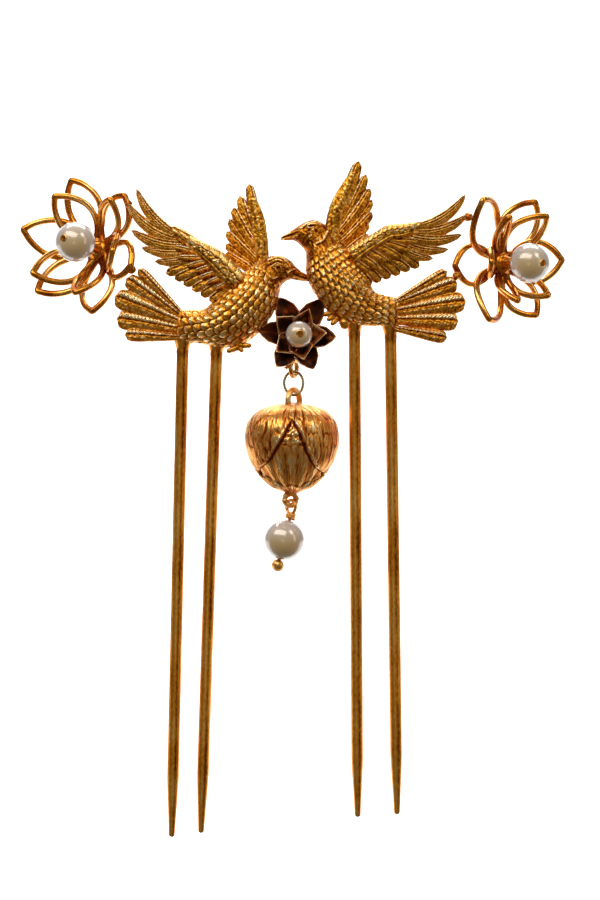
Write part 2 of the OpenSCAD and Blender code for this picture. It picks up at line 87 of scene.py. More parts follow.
def read(rows, x):
    """Value of a table of [place, value] rows at x, on the smooth line through its rows."""
    rows = np.asarray(rows, float)
    share = np.interp(x, rows[:, 0], np.linspace(0, 1, len(rows)))
    return through(rows[:, 1:], share)[..., 0]


def run_along(path):
    """Distance walked along a path at each of its points: the lengths of the steps, added up."""
    return np.concatenate([[0], np.cumsum(np.linalg.norm(np.diff(path, axis=0), axis=1))])


print("smooth at a quarter, a half and three quarters:", smooth(0, 1, np.array([0.25, 0.5, 0.75])))

# %% Grain
GRID = 256
LATTICE = np.random.default_rng(12).random((GRID, GRID))


def lattice(i, j):
    """Random value from 0 to 1 at the whole places i and j. It repeats after GRID places."""
    return LATTICE[i.astype(int) % GRID, j.astype(int) % GRID]


def grain(x, y, size):
    """Uneven heights from -1 to 1: random values on a square lattice of that size, blended
    between its corners with 3t² - 2t³."""
    px, py = np.asarray(x, float) / size, np.asarray(y, float) / size
    i, j = np.floor(px), np.floor(py)
    u, v = smooth(0, 1, px - i), smooth(0, 1, py - j)
    near = lattice(i, j) * (1 - u) + lattice(i + 1, j) * u
    far = lattice(i, j + 1) * (1 - u) + lattice(i + 1, j + 1) * u
    return 2 * (near * (1 - v) + far * v) - 1


def pitted(x, z, size, share, small):
    """Pits of two sizes: grain of the one size + share × grain of the small size."""
    return grain(x, z, size) + share * grain(z, x, small)


print("grain ready, lattice", LATTICE.shape)

# %% [markdown]
# ## Skins and pieces
#
# Every shape here is a row of closed rings: across a feather, round a wire, or round the bud.
# Bevelled curves or sculpting could give such shapes too, but on rings the height and the
# colour follow the same lines. `skin` joins the rings with quads and shuts the two ends, so
# each shape is watertight. It measures the volume with its sign and turns the faces over if
# that is negative, so they always point outwards. `piece` puts one or more skins in an object
# that rides on a body.
#
# Each point also stores its relief, from 0 in a recess to 1 on a raised line. The metal's
# colour reads it later: plate stays dark in the recesses, partly patina and partly painted
# shade, and is rubbed bright on top, partly with a painted highlight. On the pearls and inside
# the middle flower's petals it holds a painted reflection.

# %% Rings to a skin
def skin(rings, relief, loop=False):
    """Closed skin over rings of equally many points. Ends are fanned shut round their middles,
    or with loop the last ring joins the first. Volume = sum of a · (b × c) / 6 over the faces'
    triangles."""
    rings = np.asarray(rings, float)
    n, m = rings.shape[:2]
    values = np.broadcast_to(relief, (n, m)).astype(float)
    ids = np.arange(n * m).reshape(n, m)
    rows = np.vstack([ids, ids[:1]]) if loop else ids
    a, b = rows[:-1], rows[1:]
    quads = np.stack([a, b, np.roll(b, -1, 1), np.roll(a, -1, 1)], -1).reshape(-1, 4)
    points, fans, marks = rings.reshape(-1, 3), np.zeros((0, 3), int), values.ravel()
    if not loop:
        points = np.vstack([points, rings[0].mean(0), rings[-1].mean(0)])
        marks = np.append(marks, [values[0].mean(), values[-1].mean()])
        first, last = ids[0], ids[-1]
        fans = np.vstack([
            np.stack([first, np.roll(first, -1), np.full(m, n * m)], -1),
            np.stack([np.roll(last, -1), last, np.full(m, n * m + 1)], -1)])
    tris = np.vstack([quads[:, [0, 1, 2]], quads[:, [0, 2, 3]], fans])
    p, q, r = points[tris[:, 0]], points[tris[:, 1]], points[tris[:, 2]]
    if np.einsum("ij,ij->", p, np.cross(q, r)) < 0:
        quads, fans = quads[:, ::-1], fans[:, ::-1]
    return points, quads, fans, marks


print("skin ready")

# %% Skins to a piece
def piece(name, skins, material, body="pin"):
    """One mesh object made of closed skins, in metres, with its relief, riding on a body."""
    starts = np.cumsum([0] + [len(s[0]) for s in skins])
    points = np.vstack([s[0] for s in skins]) * MM
    quads = np.vstack([s[1] + k for s, k in zip(skins, starts)])
    fans = np.vstack([s[2] + k for s, k in zip(skins, starts)])
    relief = np.concatenate([s[3] for s in skins])
    mesh = bpy.data.meshes.new(name)
    mesh.vertices.add(len(points))
    mesh.vertices.foreach_set("co", points.astype(np.float32).ravel())
    corners = np.concatenate([quads.ravel(), fans.ravel()]).astype(np.int32)
    mesh.loops.add(len(corners))
    mesh.loops.foreach_set("vertex_index", corners)
    first = np.concatenate([np.arange(len(quads)) * 4, len(quads) * 4 + np.arange(len(fans)) * 3])
    mesh.polygons.add(len(first))
    mesh.polygons.foreach_set("loop_start", first.astype(np.int32))
    mesh.polygons.foreach_set("use_smooth", np.ones(len(first), bool))
    mesh.update(calc_edges=True)
    mesh.attributes.new("relief", "FLOAT", "POINT").data.foreach_set(
        "value", np.clip(relief, 0, 1).astype(np.float32))
    obj = bpy.data.objects.new(name, mesh)
    bpy.context.scene.collection.objects.link(obj)
    mesh.materials.append(material)
    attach(obj, body)
    print(f"{name}: {len(quads) * 2 + len(fans)} triangles on {body}")
    return obj


print("piece ready")

# %% [markdown]
# ## Wires, balls and turned shapes
#
# Much of the pin is wire: the lotus petals, the eyes, the ring and the prongs. A bevelled curve
# would make plain wire, but its relief couldn't vary along it. So a wire is a circle carried
# along a path. The circle is set square to the path with one fixed direction that the path
# never runs along, so no frame has to be passed from ring to ring.

# %% Wire
WIRE_SIDES = 14


def unit(vectors):
    """Each vector divided by its length."""
    vectors = np.asarray(vectors, float)
    return vectors / np.linalg.norm(vectors, axis=-1, keepdims=True)


def round_angles(count):
    """Angles evenly spaced once round: a full turn × k / count."""
    return TURN * np.arange(count) / count


def circle(a, aside, up):
    """Directions at the angles a: cos a · aside + sin a · up."""
    return np.cos(a)[:, None] * aside + np.sin(a)[:, None] * up


def wire(path, radius, relief, ref=(0, 1, 0), loop=False):
    """Round wire along a path. Ring k = point k + radius (cos a · aside + sin a · up), where
    aside is the path's direction × ref."""
    path = np.asarray(path, float)
    ahead = np.roll(path, -1, 0) - np.roll(path, 1, 0) if loop else np.gradient(path, axis=0)
    along = unit(ahead)
    aside = unit(np.cross(along, np.asarray(ref, float)))
    up = np.cross(aside, along)
    r = np.broadcast_to(radius, len(path))[:, None, None]
    rings = path[:, None] + r * circle(round_angles(WIRE_SIDES), aside[:, None], up[:, None])
    return skin(rings, np.broadcast_to(relief, len(path))[:, None], loop)


print("wire ready, sides:", WIRE_SIDES)

# %% Turned shapes and balls
BALL_SIDES, POLE_GAP = 20, 0.04


def turned(profile, sides=48, relief=0.7):
    """Shape turned on a lathe round the z axis: each [radius, height] row of the profile
    becomes a circle."""
    profile = np.asarray(profile, float)
    a = round_angles(sides)
    r, z = profile[:, 0, None], profile[:, 1, None]
    rings = np.stack([r * np.cos(a), r * np.sin(a), z + 0 * a], -1)
    return skin(rings, np.broadcast_to(relief, len(profile))[:, None])


def ball(centre, radius, lumps, rows=18, relief=0.7):
    """Ball of solder or metal: a turned half circle, moved to its centre, whose radius is made
    uneven by lumps × grain."""
    a = np.linspace(POLE_GAP, np.pi - POLE_GAP, rows)
    points, quads, fans, marks = turned(np.stack([np.sin(a), -np.cos(a)], -1), BALL_SIDES, relief)
    x, y, z = points.T
    swell = 1 + lumps * grain(x + centre[0], z + centre[2] + y, 0.7)
    return points * radius * swell[:, None] + np.asarray(centre, float), quads, fans, marks


def moved(part, turn_matrix, offset=(0, 0, 0)):
    """A skin turned by a matrix and shifted."""
    return part[0] @ np.asarray(turn_matrix).T + np.asarray(offset, float), *part[1:]


def about(axis, degrees):
    """Matrix that turns a point about the x, y or z axis by the right-hand rule."""
    c, s = np.cos(np.radians(degrees)), np.sin(np.radians(degrees))
    return np.array({"x": [[1, 0, 0], [0, c, -s], [0, s, c]],
                     "y": [[c, 0, s], [0, 1, 0], [-s, 0, c]],
                     "z": [[c, -s, 0], [s, c, 0], [0, 0, 1]]}[axis])


print("makers ready: wire, turned, ball")

# %% [markdown]
# ## Writing materials as sums
#
# A material's pattern is arithmetic on sockets. Its nodes could be placed by hand or made one
# call at a time, but a sum is easier to read. So the small class below wraps a socket, and
# `1 - mask` or `a * b + c` adds Math nodes. Colours come from ramps, because a Math node would
# turn them grey. Every other node comes from the one method `node`.

# %% A material and its nodes
class Metal:
    """A material being written, and its shader."""

    def __init__(self, name):
        self.material = bpy.data.materials.new(name)
        self.material.use_nodes = True
        self.nodes = self.material.node_tree.nodes
        self.links = self.material.node_tree.links
        self.shader = self.nodes["Principled BSDF"]

    def node(self, kind, settings=None, ramp=None, out=0, **values):
        """Adds a node of that type, sets its settings, its ramp's stops and then its sockets by
        name or number, and returns one of its outputs. A new ramp has two stops, so the first
        and the last are set before those between are added."""
        made = self.nodes.new(kind)
        for key, value in (settings or {}).items():
            setattr(made, key, value)
        if ramp:
            stops = made.color_ramp.elements
            for k, (place, color) in enumerate([ramp[0], ramp[-1], *ramp[1:-1]]):
                stop = stops[k] if k < 2 else stops.new(place)
                stop.position, stop.color = place, (*color, 1)
        for key, value in values.items():
            self.set(made, int(key[1:]) if key[0] == "_" else key.replace("_", " "), value)
        return Socket(self, made.outputs[out])

    def set(self, made, key, value):
        """Links a socket to that input, or gives the input a plain value."""
        if isinstance(value, Socket):
            self.links.new(value.socket, made.inputs[key])
        else:
            made.inputs[key].default_value = value

    def bump(self, height, depth):
        """Normal bent by a height from 0 to 1 that stands for depth metres."""
        return self.node("ShaderNodeBump", Strength=1.0, Distance=depth, Height=height)

    def finish(self, **values):
        """Sets the shader's sockets and returns the material."""
        for key, value in values.items():
            self.set(self.shader, key.replace("_", " "), value)
        return self.material


print("material class ready")

# %% A socket that can be added and multiplied
class Socket:
    """An output socket that takes part in sums and products."""

    def __init__(self, owner, socket):
        self.owner, self.socket = owner, socket

    def math(self, operation, other, swap=False):
        """Math node of this socket and the other, or of the other and this one with swap."""
        a, b = (other, self) if swap else (self, other)
        return self.owner.node("ShaderNodeMath", {"operation": operation}, _0=a, _1=b)

    def __add__(self, other):
        return self.math("ADD", other)

    def __sub__(self, other):
        return self.math("SUBTRACT", other)

    def __rsub__(self, other):
        return self.math("SUBTRACT", other, swap=True)

    def __mul__(self, other):
        return self.math("MULTIPLY", other)

    __radd__, __rmul__ = __add__, __mul__

    def clip(self):
        """The value held between 0 and 1."""
        return self.owner.node("ShaderNodeClamp", Value=self)


print("material writer ready")

# %% [markdown]
# ## The golds
#
# The plate has one colour on the birds, a shade yellower on their wings, a redder one on the
# lotuses, a rose tint on the bud and a pale one on the jump ring. Pictures of worn gold could be
# wrapped round the pieces, but the stored relief already knows where the plate is rubbed. So the
# colour runs from dark brown in the recesses, partly patina and partly painted shade, over the
# body colour to pale bright edges, partly rubbed plate and partly a painted highlight, and it
# drifts a little from place to place. A fine grain in the normal gives the tooth of a casting.
# On the bud and the prongs it is drawn out along z, like the marks of a brush. Base colours are
# linear, and deeper than the eye sees them, because bright lamps are mirrored in them.

# %% Golds
# Numbers of the outputs that are used: place on the object, and an attribute's value
ON_OBJECT, AS_VALUE = 3, 2
# Share of the way from body to bright at a gleam's red, green and blue, and where it stands
GLEAM, GLEAM_AT = (0.75, 0.5, 0.28), 0.80
WRAP_RADIUS = 0.006


def surface(m):
    """Place on the piece, in metres, and the relief that its points store."""
    return (m.node("ShaderNodeTexCoord", out=ON_OBJECT),
            m.node("ShaderNodeAttribute", {"attribute_name": "relief"}, out=AS_VALUE))


def noise(m, place, scale, detail, roughness=0.5):
    """Cloudy value from 0 to 1, with about scale clouds to a metre."""
    return m.node("ShaderNodeTexNoise", Vector=place, Scale=scale, Detail=detail,
                  Roughness=roughness)


def gold(name, deep, body, bright, rough, tooth, pores=4300.0, draw=1.0, drift=0.3, specks=0.75,
         axis=None):
    """Plated metal. Colour = deep to body to bright by relief, with a drift. draw stretches the
    grain along z, and specks is its share in the colour. With an axis, a place x, y in metres,
    the grain is wrapped round it: its first number is then the angle round the axis ×
    WRAP_RADIUS."""
    m = Metal(name)
    place, relief = surface(m)
    if axis:
        parts = [m.node("ShaderNodeSeparateXYZ", out=k, Vector=place) for k in range(3)]
        turn = (parts[0] - axis[0]).math("ARCTAN2", axis[1] - parts[1])
        place = m.node("ShaderNodeCombineXYZ", X=turn * WRAP_RADIUS, Z=parts[2])
    lengthwise = m.node("ShaderNodeMapping", Vector=place, Scale=(1, 1, 1 / draw))
    fine = noise(m, lengthwise, pores, 3.0, 0.6)
    patches = noise(m, lengthwise, 420.0, 2.0)
    level = (relief + (fine - 0.5) * specks + (patches - 0.5) * drift).clip()
    gleam = tuple(b + (t - b) * s for b, t, s in zip(body, bright, GLEAM))
    # Deep in the recesses is partly patina and partly painted shade; the pale gleam and bright on
    # high places are partly rubbed plate and partly a painted highlight.
    color = m.node("ShaderNodeValToRGB", Fac=level, ramp=[
        (0.08, deep), (0.48, body), (GLEAM_AT, gleam), (1.0, bright)])
    sheen = (rough + (fine - 0.5) * 0.18 + (1 - relief) * 0.14).clip()
    return m.finish(Base_Color=color, Metallic=1.0, Roughness=sheen, Normal=m.bump(fine, tooth))


cast_gold = gold("cast_gold", (0.14, 0.024, 0.001), (0.745, 0.270, 0.014), (0.98, 0.82, 0.52),
                 rough=0.24, tooth=6e-5)
wing_gold = gold("wing_gold", (0.15, 0.032, 0.002), (0.69, 0.290, 0.018), (0.98, 0.83, 0.54),
                 rough=0.24, tooth=6e-5)
lotus_gold = gold("lotus_gold", (0.30, 0.062, 0.005), (0.68, 0.262, 0.026), (0.97, 0.84, 0.60),
                  rough=0.17, tooth=1.2e-5, pores=3000.0, drift=0.4, specks=0.5)
prong_gold = gold("prong_gold", (0.19, 0.04, 0.003), (0.82, 0.315, 0.025), (1.0, 0.78, 0.40),
                  rough=0.27, tooth=3.4e-5, pores=3800.0, draw=2.2, drift=0.5)
bud_gold = gold("bud_gold", (0.23, 0.042, 0.005), (0.82, 0.310, 0.046), (0.93, 0.76, 0.48),
                rough=0.25, tooth=8e-5, pores=3800.0, draw=2.6, drift=0.1, axis=(0.00075, 0.001))
pale_gold = gold("pale_gold", (0.18, 0.10, 0.03), (0.42, 0.31, 0.15), (0.86, 0.76, 0.54),
                 rough=0.2, tooth=8e-6, pores=4000.0, specks=0.4)
print("golds:", [m.name for m in bpy.data.materials])

# %% [markdown]
# ## Dark petals and pearl, with painted reflections
#
# The middle flower's petals are painted dark brown inside, a painted reflection of dark
# surroundings in the dished gold, so that copper gold shows only on their rims. The dark could
# be a second piece laid inside each petal, but one ramp over the relief keeps a ragged border.
# A pearl has no pattern of its own to draw. Its soft beige in front and below, turning silvery
# towards the rim, is a painted reflection, under a clear coat that mirrors the lamps.

# %% Dark petals and pearl, painted reflections
def painted_reflection_petal_material():
    """Dark brown where the relief is low, a painted reflection of dark surroundings, through copper
    to pale gold where it is high, the pale top a painted highlight, with a fine soot in the
    colour, the roughness and the normal."""
    m = Metal("painted_reflection_petal")
    place, relief = surface(m)
    soot = noise(m, place, 2600.0, 4.0, 0.65)
    level = (relief + (soot - 0.5) * 0.25).clip()
    color = m.node("ShaderNodeValToRGB", Fac=level, ramp=[
        (0.2, (0.035, 0.013, 0.007)), (0.48, (0.22, 0.060, 0.015)), (0.74, (1.0, 0.33, 0.05)),
        (1.0, (1.0, 0.72, 0.40))])
    rough = (0.58 - relief * 0.36 + (soot - 0.5) * 0.2).clip()
    return m.finish(Base_Color=color, Metallic=0.85, Roughness=rough, Normal=m.bump(soot, 2.5e-5))


def pearl_coat():
    """Silvery at the rim and warm beige in front and below, by the relief: a painted reflection.
    With clouds, under a clear soft coat."""
    m = Metal("pearl")
    place, relief = surface(m)
    clouds = noise(m, place, 420.0, 3.0)
    skin_marks = noise(m, place, 1900.0, 3.0)
    painted_reflection_level = (relief + (clouds - 0.5) * 0.35).clip()
    color = m.node("ShaderNodeValToRGB", Fac=painted_reflection_level, ramp=[
        (0.1, (0.66, 0.60, 0.56)), (0.5, (0.68, 0.54, 0.38)), (0.95, (0.68, 0.47, 0.22))])
    rough = (0.22 + (skin_marks - 0.5) * 0.12).clip()
    return m.finish(Base_Color=color, Roughness=rough, Coat_Weight=1.0, Coat_Roughness=0.11,
                    Specular_IOR_Level=0.6, Metallic=0.15, Normal=m.bump(skin_marks, 5e-6))


painted_reflection_petal = painted_reflection_petal_material()
pearl = pearl_coat()
print("finishes:", painted_reflection_petal.name, pearl.name)

# %% [markdown]
# ## The birds' bodies
#
# Each bird is one casting. Its body is an oval carried from the tail's root to the beak, and
# the oval's top and bottom follow the outline of the back and of the breast. The scale-like
# body feathers are then raised on it, in staggered rows with their free edges towards the tail.
# Every scale is a piece of a slope: it climbs to its free edge and drops to the next one.
# Real height is used in place of a bump, so the edges catch light from every side.

# %% Outlines of the bodies
# From the tail's root to the beak: x, z of the back, x, z of the breast, half the thickness
LEFT_BODY = [
    [-16.4, 5.0, -16.7, 1.1, 1.2], [-14.6, 5.1, -14.9, 0.6, 2.0], [-12.3, 5.3, -12.2, 0.2, 2.8],
    [-10.7, 6.9, -9.2, -0.3, 3.5], [-8.6, 9.0, -6.0, 0.6, 3.9], [-6.5, 10.7, -3.8, 2.4, 3.8],
    [-4.7, 12.0, -2.0, 5.0, 3.3], [-3.6, 12.8, -1.2, 7.2, 2.6], [-2.9, 13.1, -0.9, 8.6, 2.2],
    [-2.0, 13.4, -0.2, 9.4, 2.0], [-0.7, 13.3, 0.5, 9.7, 1.8], [0.6, 12.6, 1.0, 9.7, 1.3],
    [1.4, 11.7, 1.5, 9.6, 0.8], [2.3, 10.9, 2.3, 9.5, 0.55], [3.5, 10.3, 3.5, 9.4, 0.3]]
RIGHT_BODY = [
    [16.8, 6.9, 16.5, 2.4, 1.2], [15.0, 7.2, 14.6, 2.9, 2.0], [13.2, 7.8, 11.7, 3.0, 2.8],
    [12.3, 9.2, 9.2, 3.5, 3.4], [11.6, 10.8, 6.5, 4.8, 3.8], [10.5, 12.5, 4.5, 7.4, 3.8],
    [9.2, 14.0, 3.2, 9.8, 3.4], [7.7, 15.2, 2.9, 11.9, 2.8], [6.6, 16.4, 2.8, 13.7, 2.3],
    [5.9, 17.7, 2.2, 14.6, 2.1], [4.8, 18.6, 1.6, 15.2, 1.9], [3.5, 18.7, 1.1, 15.5, 1.7],
    [2.1, 18.1, 0.6, 15.6, 1.2], [1.1, 17.4, 0.3, 15.6, 0.7], [0.2, 16.8, -0.2, 15.6, 0.5],
    [-0.9, 16.1, -0.9, 15.6, 0.25]]
BIRD_Y = -1.0
print("left body rows", len(LEFT_BODY), "right body rows", len(RIGHT_BODY))

# %% Body through its ovals
FRONT_CROWD = 0.45


def oval_body(rows, y, chase, steps=220, around=184):
    """Body through oval sections. A point = middle + half the section · cos a, and y + thickness
    · sin a, pushed out along the oval's normal by chase(place), in mm. With a = u - FRONT_CROWD
    · cos u for even steps of u, the points crowd together in front. The first section is
    rounded off."""
    t = np.linspace(0, 1, steps)
    r = through(rows, t)
    middle, half = (r[:, 0:2] + r[:, 2:4]) / 2, (r[:, 0:2] - r[:, 2:4]) / 2
    tall, thick = np.linalg.norm(half, axis=1)[:, None], r[:, 4:5]
    thick = thick * (0.35 + 0.65 * np.sqrt(smooth(-0.01, 0.09, t)))[:, None]
    u = round_angles(around)
    a = u - FRONT_CROWD * np.cos(u)
    c, s = np.cos(a)[None], np.sin(a)[None]
    run = run_along(middle)
    girth = (np.mod(a + 1.5 * np.pi, TURN) - np.pi)[None] * (tall + thick) / 2
    x = middle[:, 0:1] + half[:, 0:1] * c
    z = middle[:, 1:2] + half[:, 1:2] * c
    place = {"t": t[:, None] + 0 * c, "run": run[-1] - run[:, None] + 0 * c, "girth": girth,
             "c": c + 0 * x, "front": -s + 0 * x, "x": x, "z": z}
    height, rub = chase(place)
    out_c, out_s = c / tall, s / thick
    push = height / np.sqrt(out_c ** 2 + out_s ** 2)
    aside = half / tall
    rings = np.stack([x + push * out_c * aside[:, 0:1], y + thick * s + push * out_s,
                      z + push * out_c * aside[:, 1:2]], -1)
    return skin(rings, rub)


print("oval body ready")

# %% Scales
def scales(p, q, long, wide, reach=1.5, dome=0.5, blunt=2.0):
    """Overlapping scales in staggered rows, free edges towards +p: height and rub, both 0 to 1.
    A point belongs to the first row whose oval, reach rows long, covers it; blunt is the power
    in the oval's formula, and more than 2 makes it squarer. Height = climb along the scale, less
    its fall to the sides; rub is highest on the rim and lowest just past it, where the surface
    dips and a painted shadow lies under the scale's free edge."""
    height, rub = np.zeros_like(p), np.full_like(p, 0.05)
    for back in (0, 1):
        i = np.floor(p / long) - back
        across = q / wide - 0.5 * np.mod(i, 2)
        column = np.round(across)
        across = across - column
        down = p / long - i
        edge = ((down / reach) ** blunt + np.abs(across / 0.56) ** blunt) ** (1 / blunt)
        worn = lattice(i, column)
        climb = (0.25 + 0.75 * np.sqrt(down / reach) - dome * (across / 0.5) ** 2
                 + 0.14 * bell(across, 0.08))
        shine = 0.30 + 0.26 * worn + 0.36 * smooth(0.55, 0.88, edge) + 0.12 * bell(across, 0.1)
        # Just past a back row's rim the height dips and the rub drops: a painted shadow under the
        # overlapping scale's edge.
        dip_and_painted_shadow = smooth(1.32, 1.0, edge) * back
        height = np.where(edge < 1, climb, height - 0.28 * dip_and_painted_shadow)
        rub = np.where(edge < 1, shine, rub * (1 - 0.9 * dip_and_painted_shadow))
    return np.clip(height, 0, 1.1), rub


print("scales ready")

# %% [markdown]
# ## Heads
#
# A head is too small for scales. The chaser draws it with a few strokes: curls over the crown,
# an eye, the line of the mouth, and the curve that parts head and neck. They could be modelled
# as wires laid on the head, but strokes that are part of its height blend into it. A stroke is a
# smooth line through three points, and its height is a bell of the distance to that line.
# Strokes with a height below zero are cut in.

# %% Strokes on the heads
# Start x, z, middle x, z, end x, z, width and height of each stroke
LEFT_STROKES = [
    [-2.8, 12.65, -1.3, 13.15, 0.0, 12.45, 0.11, 0.13],
    [-2.7, 12.4, -1.4, 12.93, -0.5, 12.6, 0.08, -0.11],
    [-2.75, 12.1, -1.5, 12.7, -0.75, 12.42, 0.11, 0.14],
    [-2.5, 11.85, -1.5, 12.4, -0.8, 12.2, 0.08, -0.11],
    [-2.2, 11.65, -1.5, 12.12, -0.7, 11.9, 0.09, 0.12],
    [-1.55, 11.75, -1.4, 11.8, -1.2, 11.75, 0.09, 0.13],
    [-0.95, 11.5, -0.92, 11.47, -0.9, 11.45, 0.11, 0.14],
    [-1.4, 11.4, -1.2, 11.3, -1.1, 11.5, 0.13, -0.12],
    [-1.95, 11.5, -1.7, 11.35, -1.6, 11.05, 0.09, 0.12],
    [-0.4, 11.8, -0.1, 11.95, 0.2, 11.5, 0.09, 0.11],
    [0.1, 12.3, 0.45, 11.9, 0.55, 11.6, 0.09, 0.07], [0.1, 10.7, 0.55, 11.0, 1.2, 11.3, 0.09, 0.13],
    [0.5, 10.72, 0.85, 10.92, 1.25, 11.08, 0.09, -0.12],
    [1.1, 10.5, 1.8, 10.25, 2.9, 9.88, 0.08, -0.12], [1.0, 10.2, 1.7, 9.97, 2.8, 9.65, 0.09, 0.10],
    [-3.1, 10.7, -2.5, 10.1, -2.05, 9.8, 0.10, 0.12],
    [-2.05, 9.8, -1.8, 9.95, -1.4, 10.05, 0.10, 0.12],
    [-1.6, 9.6, -1.3, 9.8, -0.9, 9.9, 0.12, -0.10], [-3.4, 9.0, -2.9, 9.15, -2.3, 9.12, 0.12, 0.15],
    [-3.2, 8.72, -2.7, 8.82, -2.1, 8.8, 0.11, -0.11],
    [-1.2, 9.3, -1.1, 8.9, -1.15, 8.5, 0.08, 0.08], [-1.7, 8.9, -1.7, 8.4, -1.8, 7.9, 0.08, 0.09]]
RIGHT_STROKES = [
    [2.0, 17.33, 2.9, 18.02, 4.3, 18.38, 0.13, 0.12],
    [4.2, 18.4, 4.7, 18.3, 5.1, 17.95, 0.12, 0.10],
    [2.4, 17.33, 2.85, 17.72, 3.15, 18.05, 0.07, -0.10],
    [3.05, 17.72, 3.5, 17.97, 4.25, 18.02, 0.09, 0.13],
    [3.2, 17.68, 3.7, 17.74, 4.2, 17.72, 0.08, -0.11],
    [3.0, 17.5, 3.43, 17.4, 4.0, 17.5, 0.09, 0.13],
    [3.93, 17.15, 3.96, 17.13, 3.98, 17.12, 0.17, 0.17],
    [3.2, 17.0, 3.3, 17.0, 3.4, 17.1, 0.12, -0.11],
    [4.35, 17.1, 4.42, 17.0, 4.5, 16.9, 0.13, -0.12],
    [3.3, 16.0, 3.65, 16.35, 3.5, 16.8, 0.10, 0.13], [4.3, 16.6, 4.4, 16.5, 4.5, 16.65, 0.10, 0.08],
    [4.55, 15.65, 4.6, 15.68, 4.65, 15.65, 0.14, 0.15],
    [4.35, 15.05, 5.3, 15.5, 6.1, 16.9, 0.12, 0.16],
    [4.5, 14.82, 5.55, 15.3, 6.35, 16.7, 0.10, -0.10],
    [-0.7, 16.05, 0.6, 16.42, 1.6, 16.78, 0.09, -0.14],
    [-0.6, 15.8, 0.7, 16.08, 1.5, 16.28, 0.10, 0.10],
    [-0.6, 16.25, 0.7, 16.75, 1.7, 17.1, 0.12, 0.07], [1.9, 16.9, 2.3, 16.8, 2.6, 16.5, 0.10, 0.06],
    [3.4, 15.2, 3.6, 14.9, 3.6, 14.6, 0.09, 0.10], [4.0, 14.9, 4.1, 14.6, 4.1, 14.2, 0.09, 0.09],
    [4.7, 14.6, 4.75, 14.2, 4.75, 13.8, 0.09, 0.09], [5.4, 14.6, 5.45, 14.2, 5.5, 13.9, 0.09, 0.07]]
STROKE_STEPS = 21


def strokes(place, rows):
    """Sum over the rows of height · e to the power of -(distance to the stroke / width)²."""
    total = np.zeros_like(place["x"])
    for x0, z0, x1, z1, x2, z2, width, height in rows:
        line = through([[x0, z0], [x1, z1], [x2, z2]], np.linspace(0, 1, STROKE_STEPS))
        gap_x, gap_z = place["x"][..., None] - line[:, 0], place["z"][..., None] - line[:, 1]
        total += height * bell(np.hypot(gap_x, gap_z).min(-1), width)
    return total


print("strokes:", len(LEFT_STROKES), "left,", len(RIGHT_STROKES), "right")

# %% Chasing of the bodies
def between_ends(t, first, last):
    """1, but 0 at both ends of t: eased in over first and out again over last."""
    return smooth(0, first, t) * smooth(0, last, 1 - t)


def bird_chase(rows, long, wide, lean, neck, **shape):
    """Chasing of one bird: scales up to the neck, fine drawn lines on the neck, strokes beyond.
    lean turns the rows of scales, in degrees, and the strokes are only on the front."""
    turn = np.radians(lean)

    def chase(place):
        p = place["run"] * np.cos(turn) + place["girth"] * np.sin(turn)
        q = place["girth"] * np.cos(turn) - place["run"] * np.sin(turn)
        crooked_p, crooked_q = p + 0.22 * grain(q, p, 1.7), q + 0.1 * grain(p, q, 1.3)
        scale_h, scale_rub = scales(crooked_p, crooked_q, long, wide, **shape)
        head = smooth(neck - 0.025, neck + 0.025, place["t"])
        front = smooth(0.0, 0.3, place["front"])
        nape = bell(place["t"] - neck - 0.07, 0.07) * grain(q, p * 0.3, 0.32)
        drawn = 1.25 * front * strokes(place, rows) + 0.07 * nape
        x, z = place["x"], place["z"]
        stipple = 0.035 * grain(x, z, 0.31) + 0.03 * grain(z, x, 0.17)
        height = ((1 - head) * (0.30 * scale_h - 0.10) + head * (drawn - 0.04)
                  + stipple * (0.5 + 0.7 * head))
        rub = (1 - head) * scale_rub + head * (0.24 + 4.4 * drawn) + 4.0 * stipple
        return height * between_ends(place["t"], 0.02, 0.02), rub
    return chase


left_chase = bird_chase(LEFT_STROKES, 1.05, 1.35, 24, 0.475)
right_chase = bird_chase(RIGHT_STROKES, 1.1, 0.98, 0, 0.47, reach=1.22, dome=0.75, blunt=2.8)
piece("left_bird_body", [oval_body(LEFT_BODY, BIRD_Y, left_chase)], cast_gold)
piece("right_bird_body", [oval_body(RIGHT_BODY, BIRD_Y, right_chase)], cast_gold)

# %% [markdown]
# ## Feathers
#
# One function makes every feather of the wings and tails. A flat card with a picture of barbs
# would pass from far off, but these feathers are cast, and their ribs throw small shadows. So a
# feather is a strip with a shaft, a camber and rows of barbs, and its front is a grid with one
# direction along the shaft and one across it. The jeweller cuts the barbs with a graver, as fine
# slanting ribs. They are cosine waves across lines that lean back from the shaft.

# %% Lines cut in a feather
# Each chasing takes s along the shaft and x across it in mm, v across it from -1 to 1 and t
# along it from 0 to 1. It gives the height in mm. A term a · bell(v - b, c) is a line of height
# a at v = b that fades out over about c to each side. With a minus sign it is cut in.


def barbs(s, x, pitch, slant):
    """Ribs from 0 to 1: a cosine wave of s - slant · |x|, one rib every pitch."""
    return 0.5 + 0.5 * np.cos(TURN * (s - slant * np.abs(x)) / pitch)


def flight_chase(s, x, v, t):
    """Flight feather, from its leading edge, v = 1: a smooth rim, a roped band between two cut
    lines, a thinner one, a vane of fine barbs, and a low rim."""
    beads = 0.4 + 0.6 * barbs(s, x, 0.43, 0.5)
    rope = bell(v - 0.40, 0.15) * beads * (1 - 0.5 * smooth(0.35, 0.0, t))
    thin = bell(v + 0.06, 0.10) * (0.6 + 0.4 * barbs(s, x, 0.43, 1.0))
    vane = smooth(-0.2, -0.3, v) * smooth(-0.92, -0.8, v) * barbs(s, x, 0.34, 1.1)
    cuts = bell(v - 0.65, 0.09) + bell(v - 0.16, 0.09) + bell(v + 0.24, 0.07)
    return (0.10 * smooth(0.70, 0.80, v) + 0.16 * rope + 0.12 * thin + 0.07 * vane
            + 0.09 * smooth(-0.82, -0.92, v) - 0.08 * cuts)


